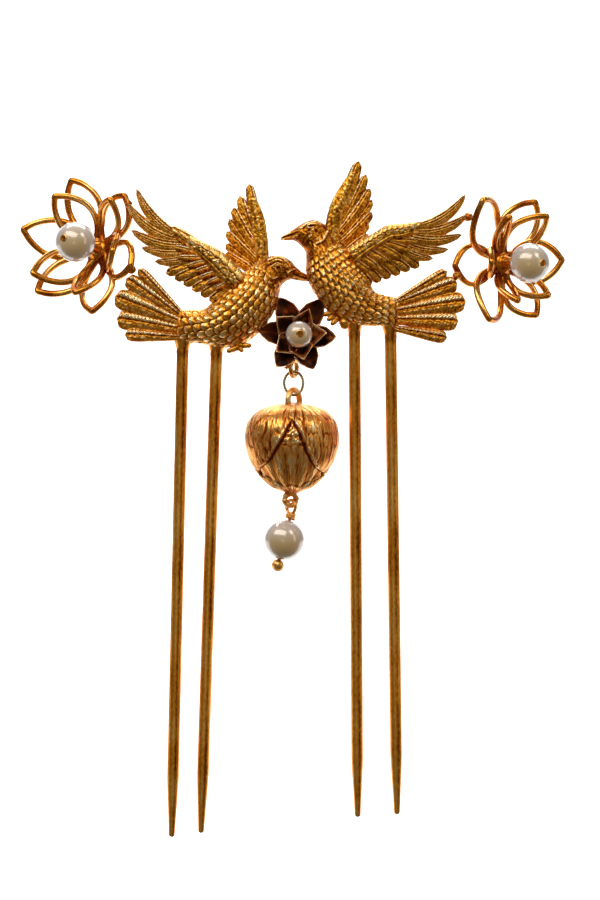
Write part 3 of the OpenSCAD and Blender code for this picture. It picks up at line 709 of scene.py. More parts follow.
def fan_chase(s, x, v, t):
    """Tail feather: a thin bright edge, a broad serrated band below it, a deep cut line, and a
    wide vane with fine slanting hatching."""
    band = bell(v - 0.48, 0.24)
    edge = bell(v - 0.94, 0.07)
    cuts = bell(v - 0.81, 0.06) + 1.4 * bell(v - 0.12, 0.09)
    hatch = smooth(0.05, -0.08, v) * barbs(s, v * 1.2 + 2, 0.5, 0.7)
    return (band * (0.09 + 0.20 * barbs(s, x, 0.52, 1.3)) + 0.09 * edge - 0.10 * cuts + 0.03 * hatch
            + 0.05 * bell(v + 0.35, 0.10) - 0.05 * smooth(-0.8, -1, v))


def covert_chase(s, x, v, t):
    """Short covering feather: a broad bright ridge along its upper edge, a thinner one below
    with a cut line between them, and a low dark vane."""
    return (0.19 * bell(v - 0.62, 0.22) * (0.85 + 0.15 * barbs(s, x, 0.6, 0.3))
            + 0.09 * bell(v - 0.02, 0.14) - 0.08 * bell(v - 0.26, 0.10)
            - 0.07 * smooth(-0.25, -0.5, v))


def lobe_chase(s, x, v, t):
    """Short flight feather: a thin bright upper edge and a cut line, over a grainy vane."""
    return 0.12 * bell(v - 0.76, 0.13) - 0.10 * bell(v - 0.48, 0.11) + 0.05 * bell(v + 0.2, 0.2)


def worn_chase(s, x, v, t):
    """Feather of a far wing: a rubbed leading edge, a thinner line below it, and a cut line
    beside each."""
    return (0.16 * bell(v - 0.66, 0.15) - 0.07 * bell(v - 0.36, 0.10) + 0.06 * bell(v - 0.12, 0.10)
            - 0.03 * bell(v + 0.12, 0.08) - 0.04 * smooth(-0.7, -0.95, v))


print("chasings ready: flight, fan, covert, lobe, worn")

# %% One feather
# Place along the feather and share of its half width there
VANE = [[0, 0.8], [0.35, 1], [0.7, 0.86], [0.92, 0.5], [1, 0.1]]
BLUNT_VANE = [[0, 0.8], [0.35, 1], [0.75, 0.95], [0.93, 0.72], [1, 0.25]]
FAN_VANE = [[0, 0.5], [0.6, 0.9], [0.86, 1], [0.96, 0.8], [1, 0.35]]
FEATHER_T, SHAFT_H = 0.5, 0.35


def feather(root, tip, half_w, sag, depth, chase, outline, steps, rough, worn, lean=0.0,
            across=29):
    """Feather as a closed skin. Its middle line runs from root to tip and bows aside by
    sag · 4t(1 - t), and its depth goes from the first to the second. Half width = half_w ·
    outline, rounded off at the tip. The front stands out by camber SHAFT_H (1 - |v|^1.6) plus
    the chasing plus rough × pits, and tilts by lean · v. The back lies FEATHER_T behind. The
    chasing counts v from the leading edge, the upper or inner one. worn is the relief of a flat
    place: higher is rubbed brighter."""
    root, tip = np.array(root, float), np.array(tip, float)
    length = np.linalg.norm(tip - root)
    along = (tip - root) / length
    aside = np.array([-along[1], along[0]])
    t = 1 - (1 - np.linspace(0, 1, steps)) ** 1.25
    v = np.linspace(-1, 1, across)[None]
    near_tip = np.clip((t - 0.94) / 0.06, 0, 0.999)
    width = (half_w * read(outline, t) * np.sqrt(1 - near_tip ** 2))[:, None]
    t, s = t[:, None], (t * length)[:, None]
    middle = root + t * (tip - root) + aside * sag * 4 * t * (1 - t)
    plane = depth[0] + t * (depth[1] - depth[0])
    x, z = middle[:, 0:1] + aside[0] * width * v, middle[:, 1:2] + aside[1] * width * v
    fade = smooth(0, 0.06, 1 - t)
    facing = 1 if along[0] > 0 else -1
    height = (chase(s, width * v, v * facing, t) * fade
              + rough * pitted(x, z, 0.34, 1, 0.15))
    camber = SHAFT_H * (1 - np.abs(v) ** 1.6) * np.minimum(1, 3 * (1.05 - t))
    front = plane - camber - height - lean * v * facing * fade
    front = front + 0.16 * smooth(0.86, 1, np.abs(v))
    back_v = np.array([[0.96, 0.5, 0.0, -0.5, -0.96]])
    back = plane + FEATHER_T + 0 * back_v
    xs = np.concatenate([x, middle[:, 0:1] + aside[0] * width * back_v], 1)
    zs = np.concatenate([z, middle[:, 1:2] + aside[1] * width * back_v], 1)
    relief = np.concatenate([worn + height * 3.6, 0.4 + 0 * back], 1)
    return skin(np.stack([xs, np.concatenate([front, back], 1), zs], -1), relief)


print("feather maker ready")

# %% A row of feathers
LAYER_STEP = 0.12
POINTED = {"outline": VANE, "steps": 116, "rough": 0.04}
BLUNT = {"outline": BLUNT_VANE, "steps": 72, "rough": 0.055}


def layered(depth, i):
    """The depths of feather number i: every second one lies LAYER_STEP further back."""
    return [y + LAYER_STEP * (i % 2) for y in depth]


def feather_row(roots, rows, depth, chases, pointed, **options):
    """Feathers whose roots stand evenly between the two ends of the root line. The first ones,
    as many as pointed, end in a point and have the first chasing; the others are blunt and have
    the second."""
    ends = np.array(roots, float).reshape(2, 2)
    made = []
    for i, (tip_x, tip_z, half_w, sag) in enumerate(rows):
        root = ends[0] + (ends[1] - ends[0]) * i / (len(rows) - 1)
        made.append(feather(root, [tip_x, tip_z], half_w, sag, layered(depth, i),
                            chases[i >= pointed], **(POINTED if i < pointed else BLUNT), **options))
    return made


print("row maker ready, every second feather", LAYER_STEP, "mm further back")

# %% [markdown]
# ## Near wings
#
# The wing towards the viewer has three tiers. The arm carries bright overlapping plates along
# its front edge, a grainy band below them and a plain ridge along its lower edge. Under it lie
# the coverts, each with a bright ridge, and under those the long flight feathers, which spread
# like fingers. One feather could be copied along a curve, but no two on the pin are alike. So
# each has its own row in a table, and only the short flight feathers stand evenly.

# %% Tables of the near wings
SHORT_COUNT, SHORT_HALF_W = 6, 0.9


def short_feathers(first, last):
    """Rows of SHORT_COUNT straight feathers, whose tips stand evenly on a line."""
    share = np.linspace(0, 1, SHORT_COUNT)[:, None]
    tips = np.array([first]) * (1 - share) + np.array([last]) * share
    return [[x, z, SHORT_HALF_W, 0] for x, z in tips.tolist()]


# Plate: length of a plate. Cover: chasing of the coverts. Worn: relief of a flat place.
# Coverts: x, z of the root, x, z of the tip, half width. Arm: x, z of its upper and of its lower
# edge, half its thickness. Primaries and secondaries: x, z of the tip, half width, sag.
# Roots: x, z of both ends of the root line
NEAR_WINGS = {
    "left": {
        "plate": 1.6, "cover": covert_chase, "worn": 0.43,
        "coverts": [[-13.6, 15.4, -17.2, 17.5, 0.62], [-13.2, 14.9, -16.9, 16.1, 0.62],
                    [-12.9, 13.5, -16.8, 14.5, 0.70], [-12.2, 12.8, -16.3, 12.9, 0.65],
                    [-11.2, 12.5, -14.9, 11.6, 0.60], [-10.4, 11.9, -13.8, 10.8, 0.58],
                    [-9.7, 11.0, -13.0, 9.9, 0.56], [-9.0, 10.3, -11.9, 9.1, 0.55],
                    [-8.0, 9.4, -10.8, 8.2, 0.55]],
        "arm": [[-5.9, 9.9, -8.4, 7.8, 1.0], [-7.5, 11.6, -9.7, 9.2, 1.1],
                [-9.5, 13.6, -11.1, 10.8, 1.1], [-12.0, 15.0, -12.7, 12.6, 1.0],
                [-14.6, 16.1, -14.6, 14.4, 0.9], [-17.1, 17.5, -16.6, 15.9, 0.5]],
        "primaries": [[-22.5, 23.3, 0.85, 1.0], [-23.9, 21.2, 0.95, 1.3], [-23.3, 17.1, 0.95, 1.0],
                      [-21.8, 14.5, 0.90, 0.7], [-19.8, 12.4, 0.85, 0.5]],
        "secondaries": short_feathers([-18.1, 10.6], [-11.6, 6.5]),
        "roots": [-16.2, 16.2, -7.0, 9.4]},
    "right": {
        "plate": 0.8, "cover": lobe_chase, "worn": 0.37,
        "coverts": [[16.6, 17.2, 20.4, 18.0, 0.50], [16.0, 16.2, 19.8, 16.8, 0.52],
                    [15.3, 15.5, 19.4, 15.3, 0.60], [14.2, 15.2, 18.5, 13.9, 0.70],
                    [13.2, 14.8, 17.0, 12.8, 0.78], [11.8, 14.1, 15.1, 12.0, 0.78],
                    [10.6, 13.3, 13.6, 11.3, 0.78], [9.7, 12.4, 12.2, 10.9, 0.70]],
        "arm": [[8.7, 14.1, 10.1, 11.6, 1.0], [10.7, 15.3, 11.6, 13.1, 1.1],
                [12.9, 16.5, 13.5, 14.4, 1.1], [15.0, 17.7, 15.5, 15.6, 1.0],
                [17.1, 17.9, 17.4, 15.9, 1.0], [20.0, 18.2, 19.2, 16.8, 0.5]],
        "primaries": [[26.7, 22.4, 0.85, -1.0], [27.0, 19.4, 0.90, -1.1], [26.2, 16.4, 0.90, -0.9],
                      [24.2, 14.2, 0.85, -0.8], [21.9, 12.8, 0.80, -0.6]],
        "secondaries": short_feathers([19.8, 11.6], [12.6, 8.9]),
        "roots": [19.4, 17.5, 9.6, 11.9]}}
print("coverts:", {side: len(wing["coverts"]) for side, wing in NEAR_WINGS.items()})

# %% Near wings
FLIGHT_DEPTH, COVERT_Y, ARM_Y = [BIRD_Y - 1.7, BIRD_Y - 1.2], BIRD_Y - 1.95, BIRD_Y - 1.9
NEAR_LEAN = 0.12


def arm_chase(plate):
    """Chasing of a near wing's arm. Plates of that length overlap along the front edge: their
    joints lean, and each climbs to its free end. Below them run a roped line, a band of pits
    and a plain ridge, with cut lines between."""
    def chase(place):
        c, run = place["c"], place["run"]
        climb = 1 - np.mod(run / plate + 0.3 * c + 0.1 * grain(run, c, 2.1), 1)
        edge = 0.34 + 0.07 * np.cos(TURN * climb)
        strip = smooth(edge - 0.06, edge + 0.04, c)
        rope = bell(c - edge + 0.17, 0.07) * (0.3 + 0.7 * barbs(run, c, 0.6, 0.4))
        pits = pitted(place["x"], place["z"], 0.32, 0.7, 0.17)
        ridge = smooth(-0.46, -0.56, c)
        band = (1 - strip) * (1 - ridge)
        cuts = (bell(c - edge + 0.06, 0.05) + bell(c + 0.45, 0.06)
                + 0.8 * strip * bell(climb - 0.02, 0.05))
        front = smooth(-0.1, 0.35, place["front"])
        height = front * (strip * (0.08 + 0.16 * climb) + 0.10 * rope + 0.07 * pits * band
                          + (0.09 + 0.02 * pits) * ridge - 0.09 * cuts)
        rub = (strip * (0.52 + 0.38 * climb) + band * (0.52 + 0.40 * pits) + 0.45 * rope
               + ridge * (0.50 + 0.30 * pits) - 0.45 * cuts)
        return height * between_ends(place["t"], 0.05, 0.08), rub
    return chase


for side, wing in NEAR_WINGS.items():
    look = {"lean": NEAR_LEAN, "worn": wing["worn"]}
    flight = feather_row(wing["roots"], wing["primaries"] + wing["secondaries"], FLIGHT_DEPTH,
                         (flight_chase, lobe_chase), len(wing["primaries"]), across=31, **look)
    cover = [feather(row[0:2], row[2:4], row[4], 0, [COVERT_Y, COVERT_Y], wing["cover"],
                     BLUNT_VANE, steps=44, rough=0.04, across=23, **look)
             for row in wing["coverts"]]
    arm = oval_body(wing["arm"], ARM_Y, arm_chase(wing["plate"]), steps=140, around=104)
    piece(f"{side}_near_flight_feathers", flight, wing_gold)
    piece(f"{side}_near_coverts", cover, wing_gold)
    piece(f"{side}_near_arm", [arm], wing_gold)

# %% [markdown]
# ## Far wings
#
# The far wings stand behind the bodies and point up. On the real pin they are worn almost to
# the casting's grain. They could be the near wings mirrored and smoothed, but their shape
# differs, so they have tables of their own and a chasing with more grain and less cutting.

# %% Far wings
FAR_DEPTH, FAR_ARM_Y = [BIRD_Y + 1.2, BIRD_Y + 2.4], BIRD_Y + 1.3
# Columns as in the near wings
FAR_WINGS = {
    "left": {
        "arm": [[-2.7, 11.6, -4.5, 11.1, 0.7], [-2.9, 15.8, -5.0, 15.2, 0.7],
                [-3.5, 19.3, -5.3, 18.5, 0.5], [-4.8, 22.2, -5.5, 22.0, 0.2]],
        "feathers": [[-5.7, 24.3, 0.85, 0], [-7.1, 22.5, 0.90, 0.2], [-8.1, 20.7, 0.90, 0.2],
                     [-8.7, 19.0, 0.85, 0.2], [-9.1, 17.1, 0.85, 0.1], [-9.2, 15.2, 0.85, 0],
                     [-9.2, 13.9, 0.80, 0]],
        "roots": [-4.3, 15.8, -4.9, 11.0]},
    "right": {
        "arm": [[5.4, 15.2, 9.4, 13.4, 0.9], [5.6, 17.0, 8.0, 16.1, 0.7],
                [6.5, 21.0, 8.6, 20.0, 0.7], [7.9, 23.6, 9.5, 22.7, 0.5],
                [9.6, 26.0, 10.3, 25.6, 0.2]],
        "feathers": [[10.8, 27.7, 1.00, 0], [11.9, 25.7, 0.85, -0.3], [12.5, 23.6, 0.85, -0.3],
                     [12.8, 21.9, 0.80, -0.3], [12.8, 20.0, 0.80, -0.2], [12.3, 18.3, 0.80, 0],
                     [12.2, 16.7, 0.80, 0]],
        "roots": [7.7, 18.5, 8.4, 13.6]}}


def worn_arm_chase(place):
    """Arm of a far wing: a few long worn ridges that run up it, under the casting's grain."""
    ridges = barbs(place["girth"] + 0.3 * grain(place["run"], place["girth"], 1.6), 0, 0.85, 0)
    pits = pitted(place["x"], place["z"], 0.30, 0.8, 0.16)
    height = (0.07 * ridges + 0.055 * pits) * between_ends(place["t"], 0.05, 0.05)
    return height, 0.32 + 0.24 * ridges + 0.26 * pits


for side, wing in FAR_WINGS.items():
    vanes = feather_row(wing["roots"], wing["feathers"], FAR_DEPTH, (worn_chase, worn_chase), 0,
                        lean=0.05, worn=0.36)
    arm = oval_body(wing["arm"], FAR_ARM_Y, worn_arm_chase, steps=110, around=64)
    piece(f"{side}_far_wing", vanes + [arm], wing_gold)

# %% [markdown]
# ## Tails
#
# A tail spreads in five broad feathers from one root, each with a bright serrated band along
# its upper side. The feathers could be grooves in one fan-shaped plate, but they overlap on the
# real pin. So they are made one by one, and every second one lies a little further back.

# %% Tails
TAIL_DEPTH = [BIRD_Y - 0.2, BIRD_Y - 1.2]
# Root x, z, tip x, z and half width of each feather
TAILS = {
    "left": [[-15.4, 4.3, -22.2, 11.3, 0.8], [-15.5, 4.0, -24.0, 9.9, 1.3],
             [-15.7, 3.3, -25.7, 7.2, 1.6], [-15.7, 2.3, -25.4, 3.9, 1.5],
             [-15.7, 1.1, -24.2, 1.5, 1.0]],
    "right": [[15.9, 6.3, 23.9, 11.0, 0.8], [16.0, 6.0, 25.4, 9.3, 1.4],
              [16.0, 5.0, 26.7, 6.5, 1.6], [16.0, 3.8, 25.6, 3.5, 1.5],
              [16.0, 2.5, 23.9, 1.0, 1.0]]}
for side, rows in TAILS.items():
    tail = [feather(row[0:2], row[2:4], row[4], 0, layered(TAIL_DEPTH, i), fan_chase, FAN_VANE,
                    steps=130, rough=0.05, across=31, worn=NEAR_WINGS[side]["worn"])
            for i, row in enumerate(rows)]
    piece(f"{side}_tail", tail, cast_gold)

# %% [markdown]
# ## Legs
#
# The birds' feet are tucked under them: short pieces of rod, soldered to the bodies. A cone for
# each would look turned on a lathe. So they are wires that taper from one end to the other,
# with a knuckle in the middle and a lumpy upper half.

# %% Legs and toes
# Start x, y, z, end x, y, z, radius at the start and at the end
LEGS = [
    [-7.6, -1.6, 0.6, -7.3, -2.2, -0.4, 0.7, 0.5], [-7.1, -2.2, -0.1, -5.3, -2.8, -0.2, 0.45, 0.35],
    [-7.1, -2.2, -0.4, -6.6, -2.6, -1.1, 0.4, 0.3], [-7.3, -2.3, -0.4, -9.0, -2.5, -1.1, 0.5, 0.35],
    [8.6, -1.6, 4.2, 8.6, -2.0, 2.3, 1.0, 0.5], [6.9, -1.8, 4.8, 5.4, -2.4, 4.4, 0.5, 0.3],
    [7.2, -1.8, 4.4, 6.0, -2.6, 3.6, 0.5, 0.3], [7.6, -1.8, 4.0, 6.6, -2.4, 2.9, 0.5, 0.3]]
LEG_STEPS = 24


def leg(row):
    """Rod from one point to another; its radius tapers, swells at a knuckle and is rounded off."""
    start, end, (thick, thin) = np.array(row[0:3]), np.array(row[3:6]), row[6:8]
    t = np.linspace(0, 1, LEG_STEPS)
    radius = (thick + t * (thin - thick)) * (1 + 0.16 * bell(t - 0.55, 0.12))
    radius = radius * np.sqrt(1 - np.clip((t - 0.8) / 0.2, 0, 0.98) ** 2)
    lumps = 0.05 * grain(t * 6, 0 * t + start[0], 0.8)
    return wire(start + t[:, None] * (end - start), radius + lumps * (1 - t),
                relief=0.35 + 0.3 * bell(t - 0.55, 0.2), ref=(0.1, 1, 0.2))


piece("legs", [leg(row) for row in LEGS], cast_gold)

# %% [markdown]
# ## Lotuses
#
# Each petal is one loop of round wire, bent to a rounded hexagon with a tip and cupped towards
# the viewer. A smooth curve through a few points would look like a printed ring, because real
# bends are corners that pliers have rounded. So the path starts as the plain polygon of the
# bends. It is then walked at even steps and averaged with its neighbours.

# %% Tables of the lotuses
# Base, turn to the side, lift, and height of the pearl over the base
LEFT_LOTUS = {"at": [-28.4, 3.0, 14.5], "turn": -33, "lift": 8, "pearl": 6.0}
RIGHT_LOTUS = {"at": [32.5, 5.0, 12.5], "turn": 38, "lift": -2, "pearl": 6.4}
# Direction, reach, rise along the axis and half width
LEFT_PETALS = [
    [113, 11.8, 2.5, 3.1], [167, 11.7, 5.0, 3.1], [223, 10.8, 4.5, 3.0], [279, 10.6, 2.5, 3.1],
    [338, 8.4, 1.5, 3.1], [57, 9.8, 1.5, 3.0], [126, 9.7, 5.0, 3.1], [211, 9.3, 6.0, 3.1],
    [270, 8.0, 5.0, 2.4], [348, 6.2, 4.0, 3.0], [60, 8.4, 3.5, 2.4]]
RIGHT_PETALS = [
    [134, 13.2, 5.5, 3.5], [68, 10.7, 3.0, 3.5], [5, 9.3, 4.0, 3.4], [301, 9.5, 3.0, 3.1],
    [232, 11.4, 5.0, 3.4], [184, 10.3, 0.5, 3.3], [111, 7.8, 4.5, 1.6], [61, 8.8, 5.5, 2.7],
    [315, 7.2, 5.5, 2.1], [264, 6.2, 4.5, 1.8], [180, 6.0, 4.0, 2.4]]
# Place along the petal, and share of the half width there
PETAL_OUTLINE = [[0.2, 0.66], [0.41, 0.97], [0.63, 1.06], [0.86, 0.64]]
LOTUS_WIRE_R, PEARL_R = 0.5, 3.0
PETAL_BASE_R, PETAL_STEPS, PETAL_SPREAD = 1.2, 100, 1.04
print("petals:", len(LEFT_PETALS), "left,", len(RIGHT_PETALS), "right")

# %% Petals of wire
def in_flower(flower):
    """Matrix that turns a flower's own axis, +z, towards the viewer."""
    return about("z", flower["turn"]) @ about("x", 90 - flower["lift"])


def wire_petal(direction, reach, rise, half_w):
    """Closed loop of wire. Its bends stand at the outline's places, at heights rise · t^1.8. It
    is read at PETAL_STEPS even steps, and each point is averaged with its nearest neighbours:
    five to each side, but only one near the tip, which stays sharp."""
    tip = reach - LOTUS_WIRE_R
    t, share = np.array(PETAL_OUTLINE).T
    x = PETAL_BASE_R + t * (tip - PETAL_BASE_R)
    y, z = (half_w - LOTUS_WIRE_R) * PETAL_SPREAD * share, rise * t ** 1.8
    base = [PETAL_BASE_R, 0, 0]
    one, other = np.stack([x, y, z], -1), np.stack([x, -y, z], -1)[::-1]
    bends = np.vstack([base, one, [tip, 0, rise], other, base])
    run = run_along(bends)
    even = np.linspace(0, run[-1], PETAL_STEPS, endpoint=False)
    path = np.stack([np.interp(even, run, bends[:, k]) for k in range(3)], -1)
    sharp, soft = (sum(np.roll(path, k, 0) for k in range(-n, n + 1)) / (2 * n + 1) for n in (1, 5))
    path = soft + (sharp - soft) * bell(even - run[-1] / 2, 1.3)[:, None]
    radius = LOTUS_WIRE_R * (1 + 0.07 * grain(even, even * 0 + direction, 2.3))
    relief = (0.47 + 0.38 * grain(even, even * 0 + reach, 2.6)
              - 0.35 * bell(path[:, 0] - PETAL_BASE_R, 1.8))
    return moved(wire(path, radius, relief, ref=(0, 0, 1), loop=True), about("z", direction))


def lotus(flower, petals):
    """All loops of a lotus, with the seat and the stem that carries the pearl."""
    stem = flower["pearl"] - PEARL_R
    seat = turned([[0.01, -0.7], [1.25, -0.72], [1.45, -0.4], [1.7, 0.5], [1.66, 0.75],
                   [1.3, 0.86], [1.1, 1.1], [0.8, stem - 0.7], [0.68, stem - 0.2],
                   [0.9, stem + 0.02], [0.01, stem + 0.04]], relief=0.35)
    parts = [wire_petal(*row) for row in petals] + [seat]
    return [moved(part, in_flower(flower), flower["at"]) for part in parts]


piece("left_lotus", lotus(LEFT_LOTUS, LEFT_PETALS), lotus_gold)
piece("right_lotus", lotus(RIGHT_LOTUS, RIGHT_PETALS), lotus_gold)

# %% [markdown]
# ## The middle flower
#
# Its petals are cut from sheet and dished, with copper gold on the rims and dark brown inside,
# a painted reflection of dark surroundings in the dished gold. A flat shape with a Solidify
# modifier could stand for sheet, but its rim would be square. Here a petal's section is a
# shallow dish with a rounded lip. Its relief is high on the lip and low inside, and the material
# turns that into copper gold and dark brown, with a painted highlight along the lip's outer
# edge.

# %% Petals of sheet
CENTER_FLOWER = {"at": [1.5, 1.5, 1.4], "turn": 5, "lift": 2, "pearl": 3.4}
# Direction, reach, half width, width of the lip
OUTER_LEAVES = [[117, 6.3, 1.9, 0.26], [56, 6.5, 1.9, 0.28], [174, 6.1, 1.8, 0.24],
                [357, 5.7, 1.8, 0.3], [236, 5.8, 1.9, 0.28], [294, 5.6, 1.9, 0.28]]
INNER_LEAVES = [[143, 4.3, 1.95, 0.46], [68, 4.2, 1.65, 0.6], [4, 4.15, 1.85, 0.7],
                [281, 3.8, 1.85, 0.7], [217, 4.25, 1.9, 0.46]]
OUTER_RISE, INNER_RISE = 2.2, 3.3
# Place along the petal, and share of the half width there
LEAF_OUTLINE = [[0, 0.35], [0.1, 0.5], [0.45, 1], [0.7, 0.84], [0.9, 0.4], [1, 0.06]]
POINTED_OUTLINE = [[0, 0.5], [0.2, 0.85], [0.4, 1], [0.5, 0.93], [1, 0.05]]
LEAF_T, LEAF_DISH, LIP_H = 0.5, 0.45, 0.30
LEAF_STEPS, LEAF_ACROSS = 60, 31


def leaf(direction, reach, half_w, lip_w, rise, outline):
    """Dished petal. Edge height = LEAF_DISH · half width above the middle, the middle rises as
    rise · t^1.3, and the lip is a rounded bead, lip_w broad and LIP_H high. Its relief is low
    inside, a painted dark reflection, and brightest along the lip's outer edge, a painted
    highlight. The back lies LEAF_T below."""
    t = 1 - (1 - np.linspace(0, 1, LEAF_STEPS)[:, None]) ** 1.3
    v = np.linspace(-1, 1, LEAF_ACROSS)[None]
    v = np.sign(v) * (1 - (1 - np.abs(v)) ** 1.35)
    width = half_w * np.interp(t, *np.array(outline).T)
    x, y = 0.4 + t * (reach - 0.4) + 0 * v, width * v
    middle = rise * t ** 1.3
    from_edge = np.minimum(width * (1 - np.abs(v)), 0.75 * (1 - t) * reach)
    lip = smooth(lip_w + 0.08, lip_w - 0.06, from_edge) * smooth(0.1, 0.3, t)
    bead = lip * np.sqrt(np.clip(1 - (from_edge / lip_w - 0.45) ** 2 * 3, 0, 1))
    wave = 0.05 * grain(x + direction, y, 0.8)
    z = middle + LEAF_DISH * width * np.abs(v) ** 1.5 + LIP_H * bead + wave
    back_v = np.array([[0.98, 0.6, 0.2, -0.2, -0.6, -0.98]])
    back = middle + LEAF_DISH * width * np.abs(back_v) ** 1.5 - LEAF_T
    rings = np.stack([np.concatenate([x, x[:, :back_v.size]], 1),
                      np.concatenate([y, width * back_v], 1), np.concatenate([z, back], 1)], -1)
    patchiness = grain(x + direction, y, 1.1)
    # The dark inside is a painted reflection of dark surroundings, and the bright outer edge of the
    # lip a painted highlight.
    dark_inside_reflection = 0.30 + 0.30 * patchiness + 0.14 * bell(v, 0.2)
    bright = 0.74 + 0.36 * smooth(0.4 * lip_w, 0.2 * lip_w, from_edge) + 0.34 * patchiness
    relief = np.concatenate([dark_inside_reflection + (bright - dark_inside_reflection) * lip, 0.45 + 0 * back], 1)
    return moved(skin(rings, relief), about("z", direction))


bloom = [leaf(*row, OUTER_RISE, LEAF_OUTLINE) for row in OUTER_LEAVES]
bloom += [leaf(*row, INNER_RISE, POINTED_OUTLINE) for row in INNER_LEAVES]
bloom.append(turned([[0.01, -0.6], [1.2, -0.6], [1.5, 0.4], [1.55, 0.9], [1.2, 1.05], [0.01, 1.0]],
                    relief=0.3))
bloom = [moved(part, in_flower(CENTER_FLOWER), CENTER_FLOWER["at"]) for part in bloom]
piece("middle_flower", bloom, painted_reflection_petal)

# %% [markdown]
# ## Pearls and their pegs
#
# A drilled pearl sits on a peg, and the gold dot that shows on it is the end of the peg, spread
# a little and filed nearly flush. A plain ball would do but for the hole, whose edge dips. So
# the pearl is turned, with a small dip at each end, and the peg is turned to fit.

# %% Pearls
PEARL_DIP, PEARL_ROWS, PEARL_SIDES, PEARL_POLE = 0.10, 64, 60, 0.02
PEG_R, PEG_HEAD, PEG_SIDES, CENTER_PEARL_R = 0.45, 0.14, 24, 2.0


def pearl_skin(radius, hole, matrix, at):
    """Turned ball with a dip of PEARL_DIP round each end of its hole, turned and moved to its
    place. Its relief is a painted reflection: 1 in a warm disc on the lower front, warmer still
    below, and 0 at the silvery rim."""
    a = np.linspace(PEARL_POLE, np.pi - PEARL_POLE, PEARL_ROWS)
    r = radius - PEARL_DIP * bell(radius * np.sin(a), hole * 1.25)
    round_skin = turned(np.stack([r * np.sin(a), -r * np.cos(a)], -1), PEARL_SIDES)
    points, quads, fans = moved(round_skin, matrix, at)[:3]
    ahead, up = -(points[:, 1] - at[1]) / radius, (points[:, 2] - at[2]) / radius
    # A painted reflection: a warm disc where the pearl faces the front, warmer below, silvery
    # towards the rim.
    painted_reflection = smooth(0.45, 0.92, ahead) * (0.45 + 0.55 * smooth(0.6, -0.4, up))
    return points, quads, fans, painted_reflection + 0.25 * smooth(-0.3, -1, up)


def flower_pearl(name, node, flower, radius):
    """The pearl of a flower on the flower's axis. Returns the peg through it: a rod with a
    spread head, PEG_HEAD broader all round and hollow in its middle."""
    at = np.array(flower["at"]) + in_flower(flower) @ np.array([0, 0, flower["pearl"]])
    made = piece(name, [pearl_skin(radius, PEG_R, in_flower(flower), at)], pearl)
    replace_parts(made, node)
    foot, top, head_r = -radius - 0.4, radius - 0.02, PEG_R + PEG_HEAD
    peg = turned([[0.01, foot], [PEG_R, foot], [PEG_R, top - 0.2], [head_r, top - 0.16],
                  [head_r, top - 0.04], [head_r - 0.1, top + 0.03], [0.3, top - 0.03],
                  [0.01, top - 0.02]], PEG_SIDES,
                 relief=[0.2, 0.2, 0.2, 0.6, 0.7, 0.6, 0.2, 0.25])
    return moved(peg, in_flower(flower), at)


pegs = [flower_pearl("pearl_left_lotus", "pearl_left", LEFT_LOTUS, PEARL_R),
        flower_pearl("pearl_right_lotus", "pearl_right", RIGHT_LOTUS, PEARL_R),
        flower_pearl("pearl_middle_flower", "pearl_center", CENTER_FLOWER, CENTER_PEARL_R)]
piece("pegs", pegs, lotus_gold)

# %% [markdown]
# ## Prongs
#
# Four lengths of drawn wire, tapered and rounded at the tip, and soldered under the birds. A
# long cone would give the taper, but not the marks of the drawplate. Drawing leaves long faint
# lines, so the wire's radius is a little uneven round it, and stays nearly the same along it.

# %% Prongs
# x, z of the top inside the bird, and x, z of the tip
PRONGS = [[-15.6, 1.9, -17.3, -73.8], [-10.5, 1.5, -12.9, -73.2],
          [10.1, 4.5, 10.6, -70.8], [15.5, 4.1, 16.5, -70.4]]
PRONG_R, TIP_R, TAPER = 0.9, 0.45, 9.0
PRONG_SIDES = 32


